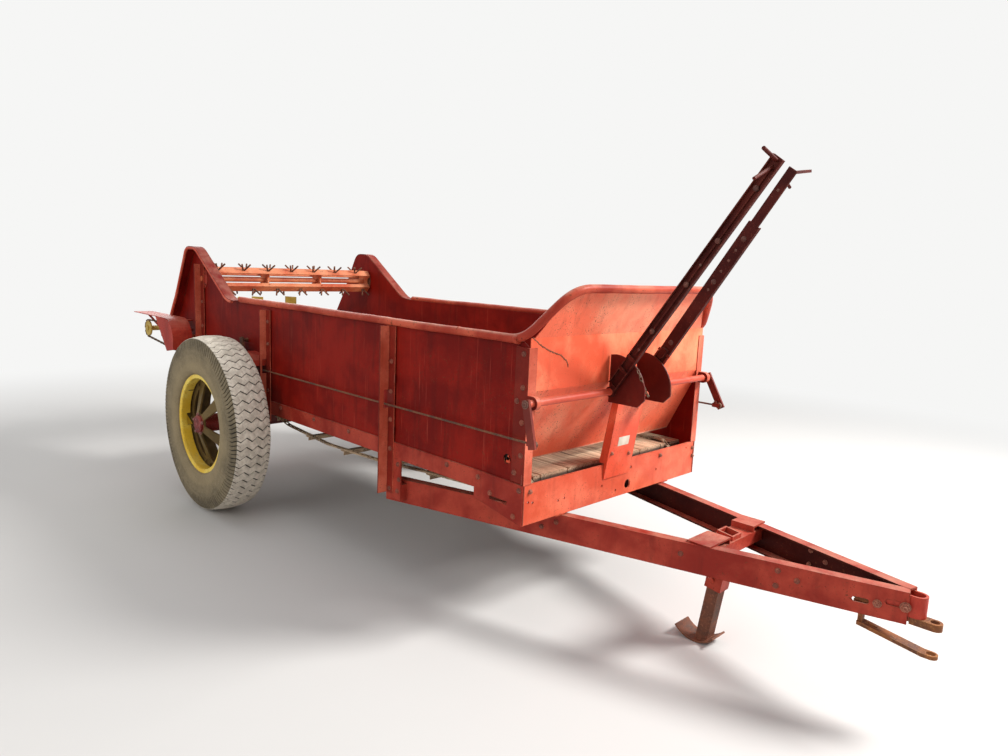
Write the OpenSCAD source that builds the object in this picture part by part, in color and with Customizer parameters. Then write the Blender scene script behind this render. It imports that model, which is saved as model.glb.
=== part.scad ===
// Ground-driven manure spreader, standing on its two wheels and its drawbar stand.
// X runs forward to the hitch, Y to the machine's left, Z up. The ground is at z = 0.
// Places along the machine are given from the front face of the front sill, forward positive.

/* [Overall] */
// Reach ahead of the front sill, to the tip of the hitch jaws
front_reach = 1200; // [1180:5:1240]

/* [Box] */
// Outside width of the box
box_w = 1140; // [1080:10:1200]
// Thickness of the sheet sides and front
sheet_t = 3; // [2:0.5:4]
// Thickness of the sill plate at the front
sill_t = 6; // [5:0.5:8]
// Height of the top of the floor boards
floor_z = 595; // [590:1:600]
// Height of the axis of the pipe along the top of the sides
rail_z = 1117; // [1100:1:1140]
// Outside diameter of the top pipe
rail_d = 34; // [28:1:42]
// Height of the top of the rear gables
gable_z = 1388; // [1360:1:1420]
// Where the sides start to rise into the gables, behind the sill
rise_x = 2200; // [2150:10:2250]
// Where the rise ends at the peak, behind the sill
peak_x = 2640; // [2600:10:2660]
// Rear end of the side sheets, behind the sill
side_end_x = 3050; // [3030:5:3070]
// Width of the flange round the gables
gable_flange_w = 57; // [50:1:60]

/* [Front] */
// Height of the front sill plate above the ground
sill_z = 450; // [446:1:456]
// Height of the front sill plate itself
sill_h = 150; // [140:5:155]
// Height of the fold between the upright and the leaning part of the front board
fold_z = 1122; // [1110:1:1130]
// Height of the front part of the top pipe
front_rail_z = 1295; // [1270:5:1310]
// Reach of the front part of the top pipe ahead of the sill
front_rail_x = 89; // [80:1:95]
// Half length of the straight front part of the top pipe
front_rail_y = 458; // [440:2:480]
// Height of the lower edge of the front board
front_lip_z = 640; // [632:1:660]
// How far the lower edge of the front board lies behind the sill
front_lip_x = 150; // [130:5:170]

/* [Levers] */
// Axis of the lever shafts ahead of the sill
shaft_x = 26; // [24:1:30]
// Height of the axis of the lever shafts
shaft_z = 900; // [890:1:910]
// Diameter of the lever shafts
shaft_d = 27; // [22:1:30]
// Lean of the right lever forward from upright, in degrees
lever_lean = 35.4; // [34:0.2:37]
// Length of the levers from the shaft to the top
lever_l = 985; // [900:5:1000]
// Length of the crank arms from the shaft to the rod pin
crank_l = 140; // [120:5:150]
// Diameter of the control rods
rod_d = 8; // [7:0.5:10]
// Distance of the right lever's middle line behind its shaft
lever_back = 8; // [4:1:10]

/* [Drawbar] */
// Height of the bottom of the drawbar rails
bar_z = 340; // [335:1:342]
// Height of the drawbar channel
bar_h = 102; // [98:1:104]
// Flange width of the drawbar channel
bar_flange_w = 41; // [35:1:44]
// Distance from the sill forward to the front end of the rails
bar_front_x = 1111; // [1090:1:1120]
// Distance from the sill back to the rear end of the rails
bar_rear_x = 809; // [790:1:830]
// Half gap between the rails at the front
bar_gap_y = 35; // [33:1:38]
// Lean of the parking stand, foot rearward, in degrees
stand_lean = 8; // [6:1:10]

/* [Wheels] */
// Distance of the axle behind the sill
axle_x = 2097; // [2080:1:2110]
// Outside diameter of the tyres
tyre_d = 930; // [920:1:940]
// Width of the tyres
tyre_w = 200; // [180:5:205]
// Gap between the box and the tyres
tyre_gap = 90; // [85:1:100]
// Bead seat diameter of the rims
rim_d = 508; // [500:1:516]

/* [Beaters] */
// Distance of the upper beater behind the sill
upper_x = 2650; // [2640:5:2660]
// Height of the upper beater
upper_z = 1205; // [1195:5:1210]
// Tip radius of the upper beater
upper_r = 133; // [110:1:140]
// Distance of the main beater behind the sill
main_x = 2800; // [2795:5:2810]
// Height of the main beater
main_z = 845; // [840:5:850]
// Tip radius of the main beater
main_r = 205; // [180:5:210]
// Distance of the distributor behind the sill
spread_x = 3260; // [3250:5:3270]
// Height of the distributor
spread_z = 860; // [850:5:870]
// Radius of the distributor paddles
spread_r = 200; // [170:5:200]

/* [Fits] */
// Radial clearance of a shaft that turns in its bush
run_fit = 0.05; // [0.02:0.01:0.1]
// Clearance between moving pieces side by side
side_gap = 6; // [5:0.5:8]

/* [Hidden] */
$fn = 48;
eps = 0.01;
x_off = (spread_x + spread_r - front_reach) / 2;
half_w = box_w / 2;
axle_z = tyre_d / 2;
track_w = box_w + tyre_w + 2 * tyre_gap;
post2_x = -bar_rear_x + 12;
post3_x = -axle_x + 227;
post4_x = -upper_x - 25;
panel_z = floor_z - 50;
base_z = panel_z - 9;
base_top = floor_z + 10;
base_leg = 60;
plank_t = 25;
bar_flange_t = 7;
bar_web_t = 6;
bar_slope = (half_w - bar_gap_y) / (bar_front_x + bar_rear_x);
bar_angle = atan(bar_slope);
bar_len = norm([half_w - bar_gap_y, bar_front_x + bar_rear_x]);
crank_lean_r = 14;
crank_lean_l = 30;
post_r_y = -110;
post_l_y = 60;
plate_t = 6;
plate_r = 145;
lever_t = 16;
lever_r_y = post_r_y - plate_t - side_gap - lever_t / 2;
lever_l_y = post_l_y + plate_t + side_gap + lever_t / 2;
arm_x = -axle_x + 3;
rod_l = shaft_x - arm_x;
rod_y = half_w + 22;
arm_y = rod_y + 12;
hub_out = tyre_w / 2 - 6;
chain_y = half_w - 110;
chain_w = 22;
chain_t = 12;
front_roll_x = -110;
rear_roll_x = -upper_x + 60;
roll_r = 42;
roll_z = floor_z + 1 - roll_r;
main_wheel_r = 75;
spread_wheel_r = 48;
upper_wheel_r = 60;
axle_wheel_r = 95;
beater_shaft_d = 32;
guard_r = 120;
guard_in_y = half_w + gable_flange_w + 5;
guard_out_y = guard_in_y + 113;
drive_y = -guard_in_y - 42;
axle_chain_y = half_w + 73;
beater_chain_y = half_w + 102;
pin_x = front_reach - 22;
strap_y = bar_gap_y - bar_web_t / cos(bar_angle) - 0.3;
tang_z = bar_z + bar_flange_t;
tang_top = tang_z + 16;
lower_z = bar_z - 90;
stand_x = 475;
stand_z = bar_z - 60;
stand_tube = 64;
stand_sq = 49;

// Moves a piece drawn from the front sill into the frame whose origin is under the middle.
module from_sill() { translate([x_off, 0, 0]) children(); }

// Plate in an upright plane along the machine, its middle plane at y.
module plate_xz(points, y, t) {
    translate([0, y + t / 2, 0]) rotate([90, 0, 0]) linear_extrude(t) polygon(points);
}

// Round bar from p to q.
module bar(p, q, d) {
    v = q - p;
    translate(p)
        rotate([0, acos(v[2] / norm(v)), atan2(v[1], v[0])])
            cylinder(d = d, h = norm(v));
}

// Round bar along Y between two planes.
module y_bar(x, z, y0, y1, d) {
    translate([x, y0, z]) rotate([-90, 0, 0]) cylinder(d = d, h = y1 - y0);
}

// Block given by its low and high corners.
module block(lo, hi) { translate(lo) cube(hi - lo); }

// Path in a plane moved sideways by t, with mitred corners.
function shifted(p, t) = [for (i = [0:len(p) - 1])
    let (a = i == 0 ? p[1] - p[0] : p[i] - p[i - 1],
         b = i == len(p) - 1 ? a : p[i + 1] - p[i],
         m = a / norm(a) + b / norm(b))
    p[i] + [-m[1], m[0]] * (2 * t / (m * m))];

// Closed outline of a strip of thickness t along a path.
function strip(p, t) = let (q = shifted(p, t)) concat(p, [for (i = [len(q) - 1:-1:0]) q[i]]);

// Path with each inner corner rounded, starting cut back by c along each side, in n steps.
function eased(p, c, n) = concat([p[0]], [for (i = [1:len(p) - 2], k = [0:n])
    let (a = p[i] + (p[i - 1] - p[i]) * (c / norm(p[i - 1] - p[i])),
         b = p[i] + (p[i + 1] - p[i]) * (c / norm(p[i + 1] - p[i])), u = k / n)
    a * (1 - u) * (1 - u) + p[i] * 2 * u * (1 - u) + b * u * u], [p[len(p) - 1]]);

// Puts a right-hand piece on the left side.
module left_of() { mirror([0, 1, 0]) children(); }

// Upper edge of a gable, from the rise over the peak to the rear foot.
gable_path = eased([[-rise_x + 60, rail_z - 10], [-rise_x - 30, rail_z - 4], [-peak_x, gable_z],
                    [-peak_x - 125, gable_z], [-peak_x - 290, 1100], [-side_end_x, 925]], 42, 3);

// Side sheet with its gable; only the right one has the hole at the apron's front shaft.
module side_sheet(has_hole) {
    color("firebrick") from_sill() {
        difference() {
            plate_xz(concat([[-sill_t - 0.5, panel_z], [-sill_t - 0.5, rail_z - 25], [-30, rail_z - 10]],
                            gable_path, [[-side_end_x, floor_z + 45], [-side_end_x + 90, panel_z]]),
                     -half_w + sheet_t / 2, sheet_t);
            for (c = [[-upper_x, upper_z], [-main_x, main_z]])
                y_bar(c[0], c[1], -half_w - 5, -half_w + 10, beater_shaft_d + 2 * run_fit);
            if (has_hole) y_bar(-88, floor_z + 84, -half_w - 5, -half_w + 10, 36);
        }
        plate_xz(strip(gable_path, -sheet_t), -half_w - gable_flange_w / 2, gable_flange_w);
    }
}
module side_right() { side_sheet(true); }
module side_left() { left_of() side_sheet(false); }

// Angle along the foot of each side, with the gusset at the front corner.
module base_angle_right() {
    color("indianred") from_sill() {
        difference() {
            union() {
                block([-side_end_x + 60, -half_w - 6, base_z], [-250, -half_w, base_top]);
                block([-side_end_x + 60, -half_w - 6, base_z], [-6, -half_w + base_leg, base_z + 6]);
            }
            for (x = [front_roll_x, rear_roll_x])
                block([x - 30, -half_w + sheet_t, base_z - 6],
                      [x + 30, -half_w + base_leg + 10, base_z + 14]);
        }
        difference() {
            plate_xz([[0, sill_z], [0, sill_z + sill_h], [-250, base_top], [-250, base_z - 39]],
                     -half_w - 3, 6);
            block([-165, -half_w - 10, sill_z + 62], [-75, -half_w + 5, sill_z + 74]);
        }
    }
}
module base_angle_left() { left_of() base_angle_right(); }

// Y of the outer face of a drawbar rail's web at a place along the machine.
function web_y(x) = bar_gap_y + (bar_front_x - x) * bar_slope;

// Plate and filler that carry the rear end of a drawbar rail on the second post.
module bar_hanger_right() {
    color("indianred") from_sill() {
        block([post2_x + 8, -half_w - 6, bar_z + 18], [post2_x + 95, -half_w, base_z]);
        translate([0, 0, bar_z + 18]) linear_extrude(70)
            polygon([[post2_x + 8, -half_w - 1], [post2_x + 95, -half_w - 1],
                     [post2_x + 95, -web_y(post2_x + 95)], [post2_x + 8, -web_y(post2_x + 8)]]);
    }
}
module bar_hanger_left() { left_of() bar_hanger_right(); }

// Upright posts on the outside of a side: [x, foot z, top z, flange depth].
post_table = [[post2_x, bar_z + 40, rail_z - 22, 50], [post3_x, base_z - 39, rail_z - 37, 40],
              [post4_x, floor_z + 105, upper_z + 85, 40]];
module posts_right() {
    color("indianred") from_sill() {
        for (p = post_table) difference() {
            union() {
                block([p[0], -half_w - 11, p[1]], [p[0] + 45, -half_w - 6, p[2]]);
                block([p[0], -half_w - 6 - p[3], p[1]], [p[0] + 6, -half_w - 6, p[2]]);
            }
            block([p[0] - 10, -rod_y - 12, shaft_z - crank_l - 12],
                  [p[0] + 60, -rod_y + 11, shaft_z - crank_l + 64]);
            y_bar(-upper_x, upper_z, -half_w - 40, -half_w, beater_shaft_d + 2 * run_fit);
        }
        difference() {
            union() {
                block([0, -half_w - 6, sill_z + sill_h], [3, -half_w + 35, rail_z - 29]);
                block([-60, -half_w - 6, sill_z + sill_h + 6], [0, -half_w, rail_z - 29]);
                block([3, -half_w - 6, shaft_z - 24], [shaft_x, -half_w + 16, shaft_z + 24]);
                y_bar(shaft_x, shaft_z, -half_w - 6, -half_w + 16, 48);
            }
            y_bar(shaft_x, shaft_z, -half_w - 20, -half_w + 30, shaft_d + 2 * run_fit);
        }
    }
}
module posts_left() { left_of() posts_right(); }

// Round bar along a path of points, with a ball a little thicker than the bar at each corner.
module bent_bar(path, d) {
    last = len(path) - 1;
    for (i = [0:last - 1]) bar(path[i], path[i + 1], d);
    for (i = [1:last - 1]) translate(path[i]) sphere(d = d + 1.5);
}

// Bent pipe round the top of the sides and front, from the right rise to the left rise.
module top_rail() {
    rail_y = half_w + rail_d / 2;
    half = [[-rise_x + 62, rail_y, rail_z], [-20, rail_y, rail_z],
            [front_rail_x, front_rail_y, front_rail_z]];
    color("indianred") from_sill()
        bent_bar(concat([for (q = half) [q[0], -q[1], q[2]]],
                        [for (i = [len(half) - 1:-1:0]) half[i]]), rail_d);
}

// Front board in three flat parts: leaning back below, upright, and leaning forward above.
module front_board() {
    inner = half_w - sheet_t - 1;
    color("tomato") from_sill() {
        translate([0, inner, 0]) rotate([90, 0, 0]) linear_extrude(2 * inner)
            polygon([[-front_lip_x, front_lip_z], [-front_lip_x + 3, front_lip_z - 2],
                     [0, shaft_z + 34], [0, fold_z], [-3, fold_z], [-3, shaft_z + 35],
                     [-front_lip_x - 18, front_lip_z]]);
        hull() {
            block([-3, -inner + 20, fold_z], [0, inner - 20, fold_z + 1]);
            block([front_rail_x - rail_d / 2 - 4, -front_rail_y + 22, front_rail_z - 3],
                  [front_rail_x - rail_d / 2 - 1, front_rail_y - 22, front_rail_z - 2]);
        }
    }
}

// Holes through the sill plate: [y, height above the sill's lower edge, diameter].
sill_holes = [[60, 40, 38], [-543, 83, 9], [-519, 78, 9], [-378, 57, 9], [-342, 60, 9], [-113, 63, 9],
              [-20, 28, 9], [16, 111, 11], [79, 109, 11], [269, 67, 9], [505, 126, 9]];

module front_sill() {
    color("tomato") from_sill() {
        difference() {
            block([-sill_t, -half_w, sill_z], [0, half_w, sill_z + sill_h]);
            for (h = sill_holes)
                translate([-10, h[0], sill_z + h[1]]) rotate([0, 90, 0]) cylinder(d = h[2], h = 20);
        }
        for (s = [-1, 1]) translate([0, s * web_y(-28), 0])
            block([-50, -25, bar_z + bar_h], [-sill_t, 25, sill_z + 6]);
    }
}

// Cross pieces under the floor, each a channel on its side: places along the machine.
crosser_x = [-420, -1000, -1560, -2300];
module frame_crossers() {
    color("brown") from_sill() for (x = crosser_x) {
        block([x - 25, -half_w + sheet_t, base_z + 6], [x + 25, half_w - sheet_t, floor_z - plank_t]);
        block([x - 3, -half_w + base_leg + 2, base_z - 20], [x + 3, half_w - base_leg - 2, base_z + 6]);
    }
}

// Slot through a rail's web in the rail's own frame, between two places along it.
module web_slot(x0, x1, z, d) {
    block([x0, -20, z - d / 2], [x1, 6, z + d / 2]);
    for (x = [x0, x1]) y_bar(x, z, -20, 6, d);
}

// One drawbar rail: a channel with its web outside, from the hitch back to the box side.
module drawbar_rail_right() {
    color("firebrick") from_sill() difference() {
        translate([bar_front_x, -bar_gap_y, bar_z]) rotate([0, 0, 180 + bar_angle]) difference() {
            union() {
                block([0, -bar_web_t, 0], [bar_len, 0, bar_h]);
                block([0, -bar_flange_w, 0], [bar_len, 0, bar_flange_t]);
                block([0, -bar_flange_w, bar_h - bar_flange_t], [bar_len, 0, bar_h]);
            }
            web_slot(115, 147, 44, 17);
            web_slot(22, 54, 58, 17);
        }
        block([bar_front_x - 80, -1, bar_z - 5], [bar_front_x + 20, 40, bar_z + bar_h + 5]);
    }
}
module drawbar_rail_left() { left_of() drawbar_rail_right(); }

module hitch_jaws() {
    color("saddlebrown") from_sill() {
        difference() {
            union() {
                block([pin_x - 228, -22, tang_z], [pin_x, 22, tang_top]);
                block([bar_front_x + 2, -22, bar_z], [pin_x, 22, tang_z]);
                translate([pin_x, 0, bar_z]) cylinder(r = 22, h = tang_top - bar_z);
                plate_xz([[pin_x - 213, lower_z + 30], [pin_x - 213, lower_z + 42],
                          [pin_x - 22, lower_z + 12], [pin_x, lower_z + 12],
                          [pin_x, lower_z], [pin_x - 22, lower_z]], 0, 40);
                translate([pin_x, 0, lower_z]) cylinder(r = 20, h = 12);
                block([pin_x - 213, -12, lower_z + 36], [pin_x - 199, 12, tang_top]);
            }
            translate([pin_x, 0, lower_z - 10]) cylinder(r = 13.5, h = bar_h + 100);
            block([pin_x - 190, -6, lower_z], [pin_x - 155, 6, lower_z + 60]);
        }
        translate([bar_front_x, 0, tang_top + 1]) linear_extrude(68) difference() {
            union() {
                translate([14, 0]) circle(r = strap_y);
                for (s = [-1, 1]) polygon([for (q = [[14, 0], [14, -8], [0, -8], [-70, 70 * bar_slope - 8],
                    [-70, 70 * bar_slope], [0, 0]]) [q[0], s * (strap_y + q[1])]]);
            }
            translate([14, 0]) circle(r = strap_y - 8);
            polygon([for (q = [[14, 1], [14, -1], [0, -1], [-71, -1], [-71, 1], [0, 1]])
                [q[0], q[1] * (strap_y - 8 - min(q[0], 0) * bar_slope)]]);
        }
    }
}

module stand_bracket() {
    lo = stand_x - 30;
    hi = stand_x + 60;
    in_y = web_y(hi) - bar_web_t / cos(bar_angle) - 0.3;
    color("firebrick") from_sill() difference() {
        union() {
            block([lo, -in_y, bar_z + 79], [hi, in_y, bar_z + 85]);
            block([lo, -in_y, bar_z + 40], [lo + 6, in_y, bar_z + 85]);
            block([hi - 6, -in_y, bar_z + 40], [hi, in_y, bar_z + 85]);
            block([lo, -in_y - 14, bar_z + bar_h], [hi, -60, bar_z + bar_h + 6]);
            block([lo, -66, bar_z + 79], [hi, -60, bar_z + bar_h + 6]);
            block([lo, 115, bar_z + bar_h], [hi, in_y + 18, bar_z + bar_h + 6]);
            block([lo, 115, bar_z + 79], [hi, 121, bar_z + bar_h + 6]);
            translate([stand_x, 0, stand_z]) rotate([0, stand_lean, 0])
                block([-stand_tube / 2, -stand_tube / 2, -60], [stand_tube / 2, stand_tube / 2, bar_h + 66]);
            bar([stand_x - 5, 12 - in_y, bar_z + 60], [stand_x - 8, -20, stand_z - 40], 12);
        }
        translate([stand_x, 0, stand_z]) rotate([0, stand_lean, 0])
            block([-25, -25, -200], [25, 25, bar_h + 200]);
    }
}

module stand_leg() {
    rocker = [for (a = [-48:8:48]) [415 + 110 * sin(a), 110 - 110 * cos(a)]];
    color("indianred") from_sill() {
        translate([stand_x, 0, stand_z]) rotate([0, stand_lean, 0])
            block([-stand_sq / 2, -stand_sq / 2, -276], [stand_sq / 2, stand_sq / 2, bar_h + 40]);
        plate_xz(strip(rocker, 7), 0, 90);
    }
}

module lever_post() {
    foot = sill_z + sill_h - 60;
    top = shaft_z - 28;
    color("tomato") from_sill() {
        plate_xz([[0, foot], [4, foot], [54, top], [50, top]],
                 (post_r_y + post_l_y) / 2, post_l_y - post_r_y);
        for (y = [post_r_y + 2, post_l_y - 2])
            plate_xz([[0, foot], [4, foot], [54, top], [24, top], [-24, sill_z + sill_h + 4],
                      [0, sill_z + sill_h + 4]], y, 4);
    }
}

module lever_quadrants() {
    color("darkred") from_sill() for (y = [post_r_y - plate_t / 2, post_l_y + plate_t / 2]) difference() {
        plate_xz(concat([[shaft_x - 20, shaft_z - 45], [shaft_x - 20, shaft_z + plate_r - 3]],
                        [for (a = [88:-6:10]) [shaft_x + plate_r * cos(a), shaft_z + plate_r * sin(a)]],
                        [[shaft_x + plate_r, shaft_z - 15], [shaft_x + 115, shaft_z - 45]]), y, plate_t);
        y_bar(shaft_x, shaft_z, y - 10, y + 10, shaft_d + 2 * run_fit);
    }
}

// Channel with its web on the side given by w, along Z from z0 to z1.
module channel(width, z0, z1, w) {
    block([-width / 2, -lever_t / 2, z0], [-width / 2 + 4, lever_t / 2, z1]);
    block([width / 2 - 4, -lever_t / 2, z0], [width / 2, lever_t / 2, z1]);
    translate([0, w * (lever_t / 2 - 2), 0]) block([-width / 2, -2, z0], [width / 2, 2, z1]);
}

// Shaft, hub and outer crank arm of a lever; side is -1 on the right and 1 on the left.
module lever_shaft(side, y, y_in, crank_lean) {
    y_out = arm_y + 2;
    y_bar(shaft_x, shaft_z, side < 0 ? -y_out : y_in, side < 0 ? y_in : y_out, shaft_d);
    y_bar(shaft_x, shaft_z, y - lever_t / 2, y + lever_t / 2, 40);
    translate([shaft_x, side * arm_y, shaft_z]) rotate([0, -crank_lean, 0]) {
        block([-16, -5, -crank_l - 15], [16, 5, 16]);
        y_bar(0, -crank_l, side < 0 ? -5 : -20, side < 0 ? 20 : 5, 12);
    }
}

// Latch in a lever's own frame: a tapered pawl over the quadrant's rim and its rod to the grip.
module latch(side, len) {
    far = lever_t / 2 + side_gap + plate_t;
    translate([0, -side * (far + lever_t / 2 - 4) / 2, 0])
        plate_xz([[-5, plate_r + side_gap], [5, plate_r + side_gap], [13, plate_r + 24],
                  [13, plate_r + 52], [-13, plate_r + 52], [-13, plate_r + 24]], 0, far - lever_t / 2 + 4);
    bar([0, -side, plate_r + 40], [0, -side, len - 30], 8);
}

module lever_right() {
    len = lever_l + 34;
    top = [shaft_x + len * sin(lever_lean) - lever_back * cos(lever_lean), lever_r_y,
           shaft_z + len * cos(lever_lean) + lever_back * sin(lever_lean)];
    color("saddlebrown") from_sill() {
        lever_shaft(-1, lever_r_y, post_r_y + 3, crank_lean_r);
        translate([shaft_x, lever_r_y, shaft_z]) rotate([0, lever_lean, 0]) translate([-lever_back, 0, 0]) {
            block([-3, -lever_t / 2, 0], [20, lever_t / 2, 32]);
            channel(44, 26, len, 1);
            latch(-1, len);
            for (z = [100, 160]) block([-22, -lever_t / 2 - 2.5, z], [22, -lever_t / 2 + 0.5, z + 12]);
        }
        bar(top + [-8, 6, -10], top + [-8, -92, 16], 13);
        bar(top + [-20, 6, -26], top + [-20, -112, -76], 11);
    }
}

module lever_left() {
    lean = lever_lean - 1.9;
    len = lever_l + 2;
    top = [shaft_x + len * sin(lean), lever_l_y, shaft_z + len * cos(lean)];
    color("saddlebrown") from_sill() {
        lever_shaft(1, lever_l_y, post_l_y - 3, crank_lean_l);
        translate([shaft_x, lever_l_y, shaft_z]) rotate([0, lean, 0]) translate([-5, 0, 0]) {
            block([-8, -lever_t / 2 + 0.5, 0], [18, lever_t / 2 - 0.5, 33]);
            channel(49, 26, lever_l * 0.78, -1);
            latch(1, lever_l * 0.8);
            block([-17, -lever_t / 2 + 1, lever_l * 0.7], [17, -lever_t / 2 + 9, len]);
        }
        translate(top - [6, 6, 10]) rotate([9, 0, 0]) block([-15, 0, -5], [15, 118, 5]);
        bar(top - [26, 0, 40], top + [-26, 30, -54], 11);
    }
}

// Control rod from the crank pin back to the arm at the drive, with an eye at each end.
module rod(crank_lean) {
    px = shaft_x + crank_l * sin(crank_lean);
    pz = shaft_z - crank_l * cos(crank_lean);
    qx = px - rod_l;
    from_sill() difference() {
        union() {
            bar([px, -rod_y, pz], [qx, -rod_y, pz], rod_d);
            for (x = [px, qx]) y_bar(x, pz, -rod_y - rod_d / 2 - 1, -rod_y + rod_d / 2 + 1, 26);
        }
        for (x = [px, qx]) y_bar(x, pz, -rod_y - 15, -rod_y + 15, 12 + 2 * run_fit);
    }
}
module rod_right() { color("peru") rod(crank_lean_r); }
module rod_left() { color("peru") left_of() rod(crank_lean_l); }

// Arm at the drive that the rod turns, on a pin in the side.
module rear_arm(crank_lean) {
    from_sill() translate([arm_x, -arm_y, shaft_z]) rotate([0, -crank_lean, 0]) {
        block([-16, -5, -crank_l - 15], [16, 5, 16]);
        y_bar(0, -crank_l, -5, 20, 12);
        y_bar(0, 0, -5, arm_y - half_w, 20);
    }
}
module arm_right() { color("brown") rear_arm(crank_lean_r); }
module arm_left() { color("brown") left_of() rear_arm(crank_lean_l); }

// Curved cover over the apron's ratchet drive, on the right side sheet.
module ratchet_guard() {
    color("indianred") from_sill() {
        plate_xz(strip([[arm_x + 76, 846], [arm_x + 134, 843],
                        [arm_x + 174, 831], [arm_x + 200, 812],
                        [arm_x + 214, 786]], 4), -half_w - 35, 70);
    }
}

module floor_boards() {
    inner = half_w - sheet_t - 2;
    n = 7;
    w = 2 * inner / n;
    color("tan") from_sill() difference() {
        for (i = [0:n - 1])
            block([-peak_x, -inner + i * w + 1, floor_z - plank_t],
                  [-70, -inner + (i + 1) * w - 1, floor_z]);
        for (s = [-1, 1], x = [front_roll_x, rear_roll_x])
            block([x - 80, s * chain_y - 20, roll_z - 8], [x + 80, s * chain_y + 20, floor_z + 10]);
    }
}

// Sagging return run of the apron chains, as places and heights of its middle line.
low_z = roll_z - roll_r - 6;
sag = [[rear_roll_x, low_z], [-axle_x - 80, low_z + 1], [-axle_x + 70, low_z], [-1850, low_z - 48],
       [-1450, low_z - 72], [-1000, low_z - 58], [-650, low_z - 30], [front_roll_x, low_z]];
slat_step = 330;

// Apron: two chains round the rollers with slats across, above on the floor and below on the sag.
module apron_chain() {
    color("sienna") from_sill() {
        for (s = [-1, 1]) translate([0, s * chain_y + chain_w / 2, 0]) rotate([90, 0, 0])
            linear_extrude(chain_w) {
            difference() {
                hull() for (x = [front_roll_x, rear_roll_x])
                    translate([x, roll_z]) circle(r = roll_r + chain_t, $fn = 96);
                hull() for (x = [front_roll_x, rear_roll_x])
                    translate([x, roll_z]) circle(r = roll_r + 0.4, $fn = 96);
                translate([rear_roll_x, roll_z - roll_r - chain_t - 5])
                    square([front_roll_x - rear_roll_x, roll_r + chain_t + 5]);
            }
            polygon(strip(shifted(sag, -5.6), chain_t - 0.8));
        }
        for (i = [0:6]) {
            x = -330 - i * slat_step;
            top = roll_z + roll_r + chain_t;
            block([x, -chain_y - 40, top], [x + 30, chain_y + 40, top + 20]);
            translate([0, 0, lookup(x + 15, sag) - 25])
                block([x, -chain_y - 14, 0], [x + 30, chain_y + 14, 20]);
        }
    }
}

// Shaft with a chain wheel at each side, held in the side sheets.
module apron_shaft(x) {
    color("brown") from_sill() {
        y_bar(x, roll_z, -half_w + sheet_t, half_w - sheet_t, 30);
        for (s = [-1, 1]) y_bar(x, roll_z, s * chain_y - 8, s * chain_y + 8, 2 * roll_r);
    }
}
module apron_front_shaft() { apron_shaft(front_roll_x); }
module apron_rear_shaft() { apron_shaft(rear_roll_x); }

module axle_beam() {
    stub = track_w / 2 + hub_out - 14;
    color("firebrick") from_sill() {
        block([-axle_x - 42, -half_w - 40, axle_z - 42], [-axle_x + 42, half_w + 40, axle_z + 28]);
        y_bar(-axle_x, axle_z, -stub, stub, 50);
        y_bar(-axle_x, axle_z, axle_chain_y - 5, axle_chain_y + 5, 2 * axle_wheel_r);
    }
}
module axle_mounts() {
    color("brown") from_sill() for (s = [-1, 1])
        translate([0, s * (half_w - 35), 0])
            plate_xz([[-axle_x - 180, base_z], [-axle_x - 60, axle_z + 28], [-axle_x + 60, axle_z + 28],
                      [-axle_x + 180, base_z]], 0, 10);
}

// Half section of the tyre as radius and width.
module tyre(y) {
    r = tyre_d / 2;
    w = tyre_w / 2;
    color("dimgray") from_sill() translate([-axle_x, y, axle_z]) rotate([90, 0, 0])
        rotate_extrude($fn = 96) polygon([
            [rim_d / 2 + 0.3, -w * 0.78], [rim_d / 2 + 24, -w * 0.78], [rim_d / 2 + 60, -w * 0.98],
            [rim_d / 2 + 110, -w], [r - 45, -w * 0.97], [r - 12, -w * 0.82], [r, -w * 0.55],
            [r, w * 0.55], [r - 12, w * 0.82], [r - 45, w * 0.97], [rim_d / 2 + 110, w],
            [rim_d / 2 + 60, w * 0.98], [rim_d / 2 + 24, w * 0.78], [rim_d / 2 + 0.3, w * 0.78]]);
}
module tyre_right() { tyre(-track_w / 2); }
module tyre_left() { tyre(track_w / 2); }

// Half section of the wheel, as radius and height outward: hub, dished disc, rim and side ring.
wheel_section = let (r = rim_d / 2, w = tyre_w / 2 * 0.78) [
    [25 + run_fit, -60], [47, -60], [47, hub_out - 24], [58, hub_out - 24], [204, 14], [r - 6, 14],
    [r - 6, -w], [r + 8, -w - 5], [r + 8, -w - 1], [r, -w], [r, w], [r + 8, w + 1], [r + 8, w + 5],
    [r - 12, w + 2], [r - 14, w - 2], [r - 14, w - 46], [r - 6, w - 52], [r - 6, 22], [206, 22],
    [62, hub_out - 15], [47, hub_out - 13], [47, hub_out - 3], [43, hub_out], [0, hub_out],
    [0, hub_out - 8], [25 + run_fit, hub_out - 8]];

// Window of the disc, between two spokes.
window = concat([[52, -8], [58, -19], [172, -82], [187, -86]],
                [for (a = [-22:5.5:22]) [212 * cos(a), 212 * sin(a)]],
                [[187, 86], [172, 82], [58, 19], [52, 8]]);

// Right wheel: the disc has five windows, and the side ring a notch to pry it off.
module wheel_right() {
    w = tyre_w / 2 * 0.78;
    color("gold") from_sill() translate([-axle_x, -track_w / 2, axle_z]) rotate([90, 0, 0])
        difference() {
            rotate_extrude($fn = 96) polygon(wheel_section);
            for (a = [10.5:72:359]) rotate([0, 0, a]) translate([0, 0, -10])
                linear_extrude(hub_out) polygon(window);
            rotate([0, 0, 185]) block([rim_d / 2 - 30, -33, w - 60], [rim_d / 2 - 6, 33, w - 28]);
        }
}
module wheel_left() { left_of() wheel_right(); }

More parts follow.
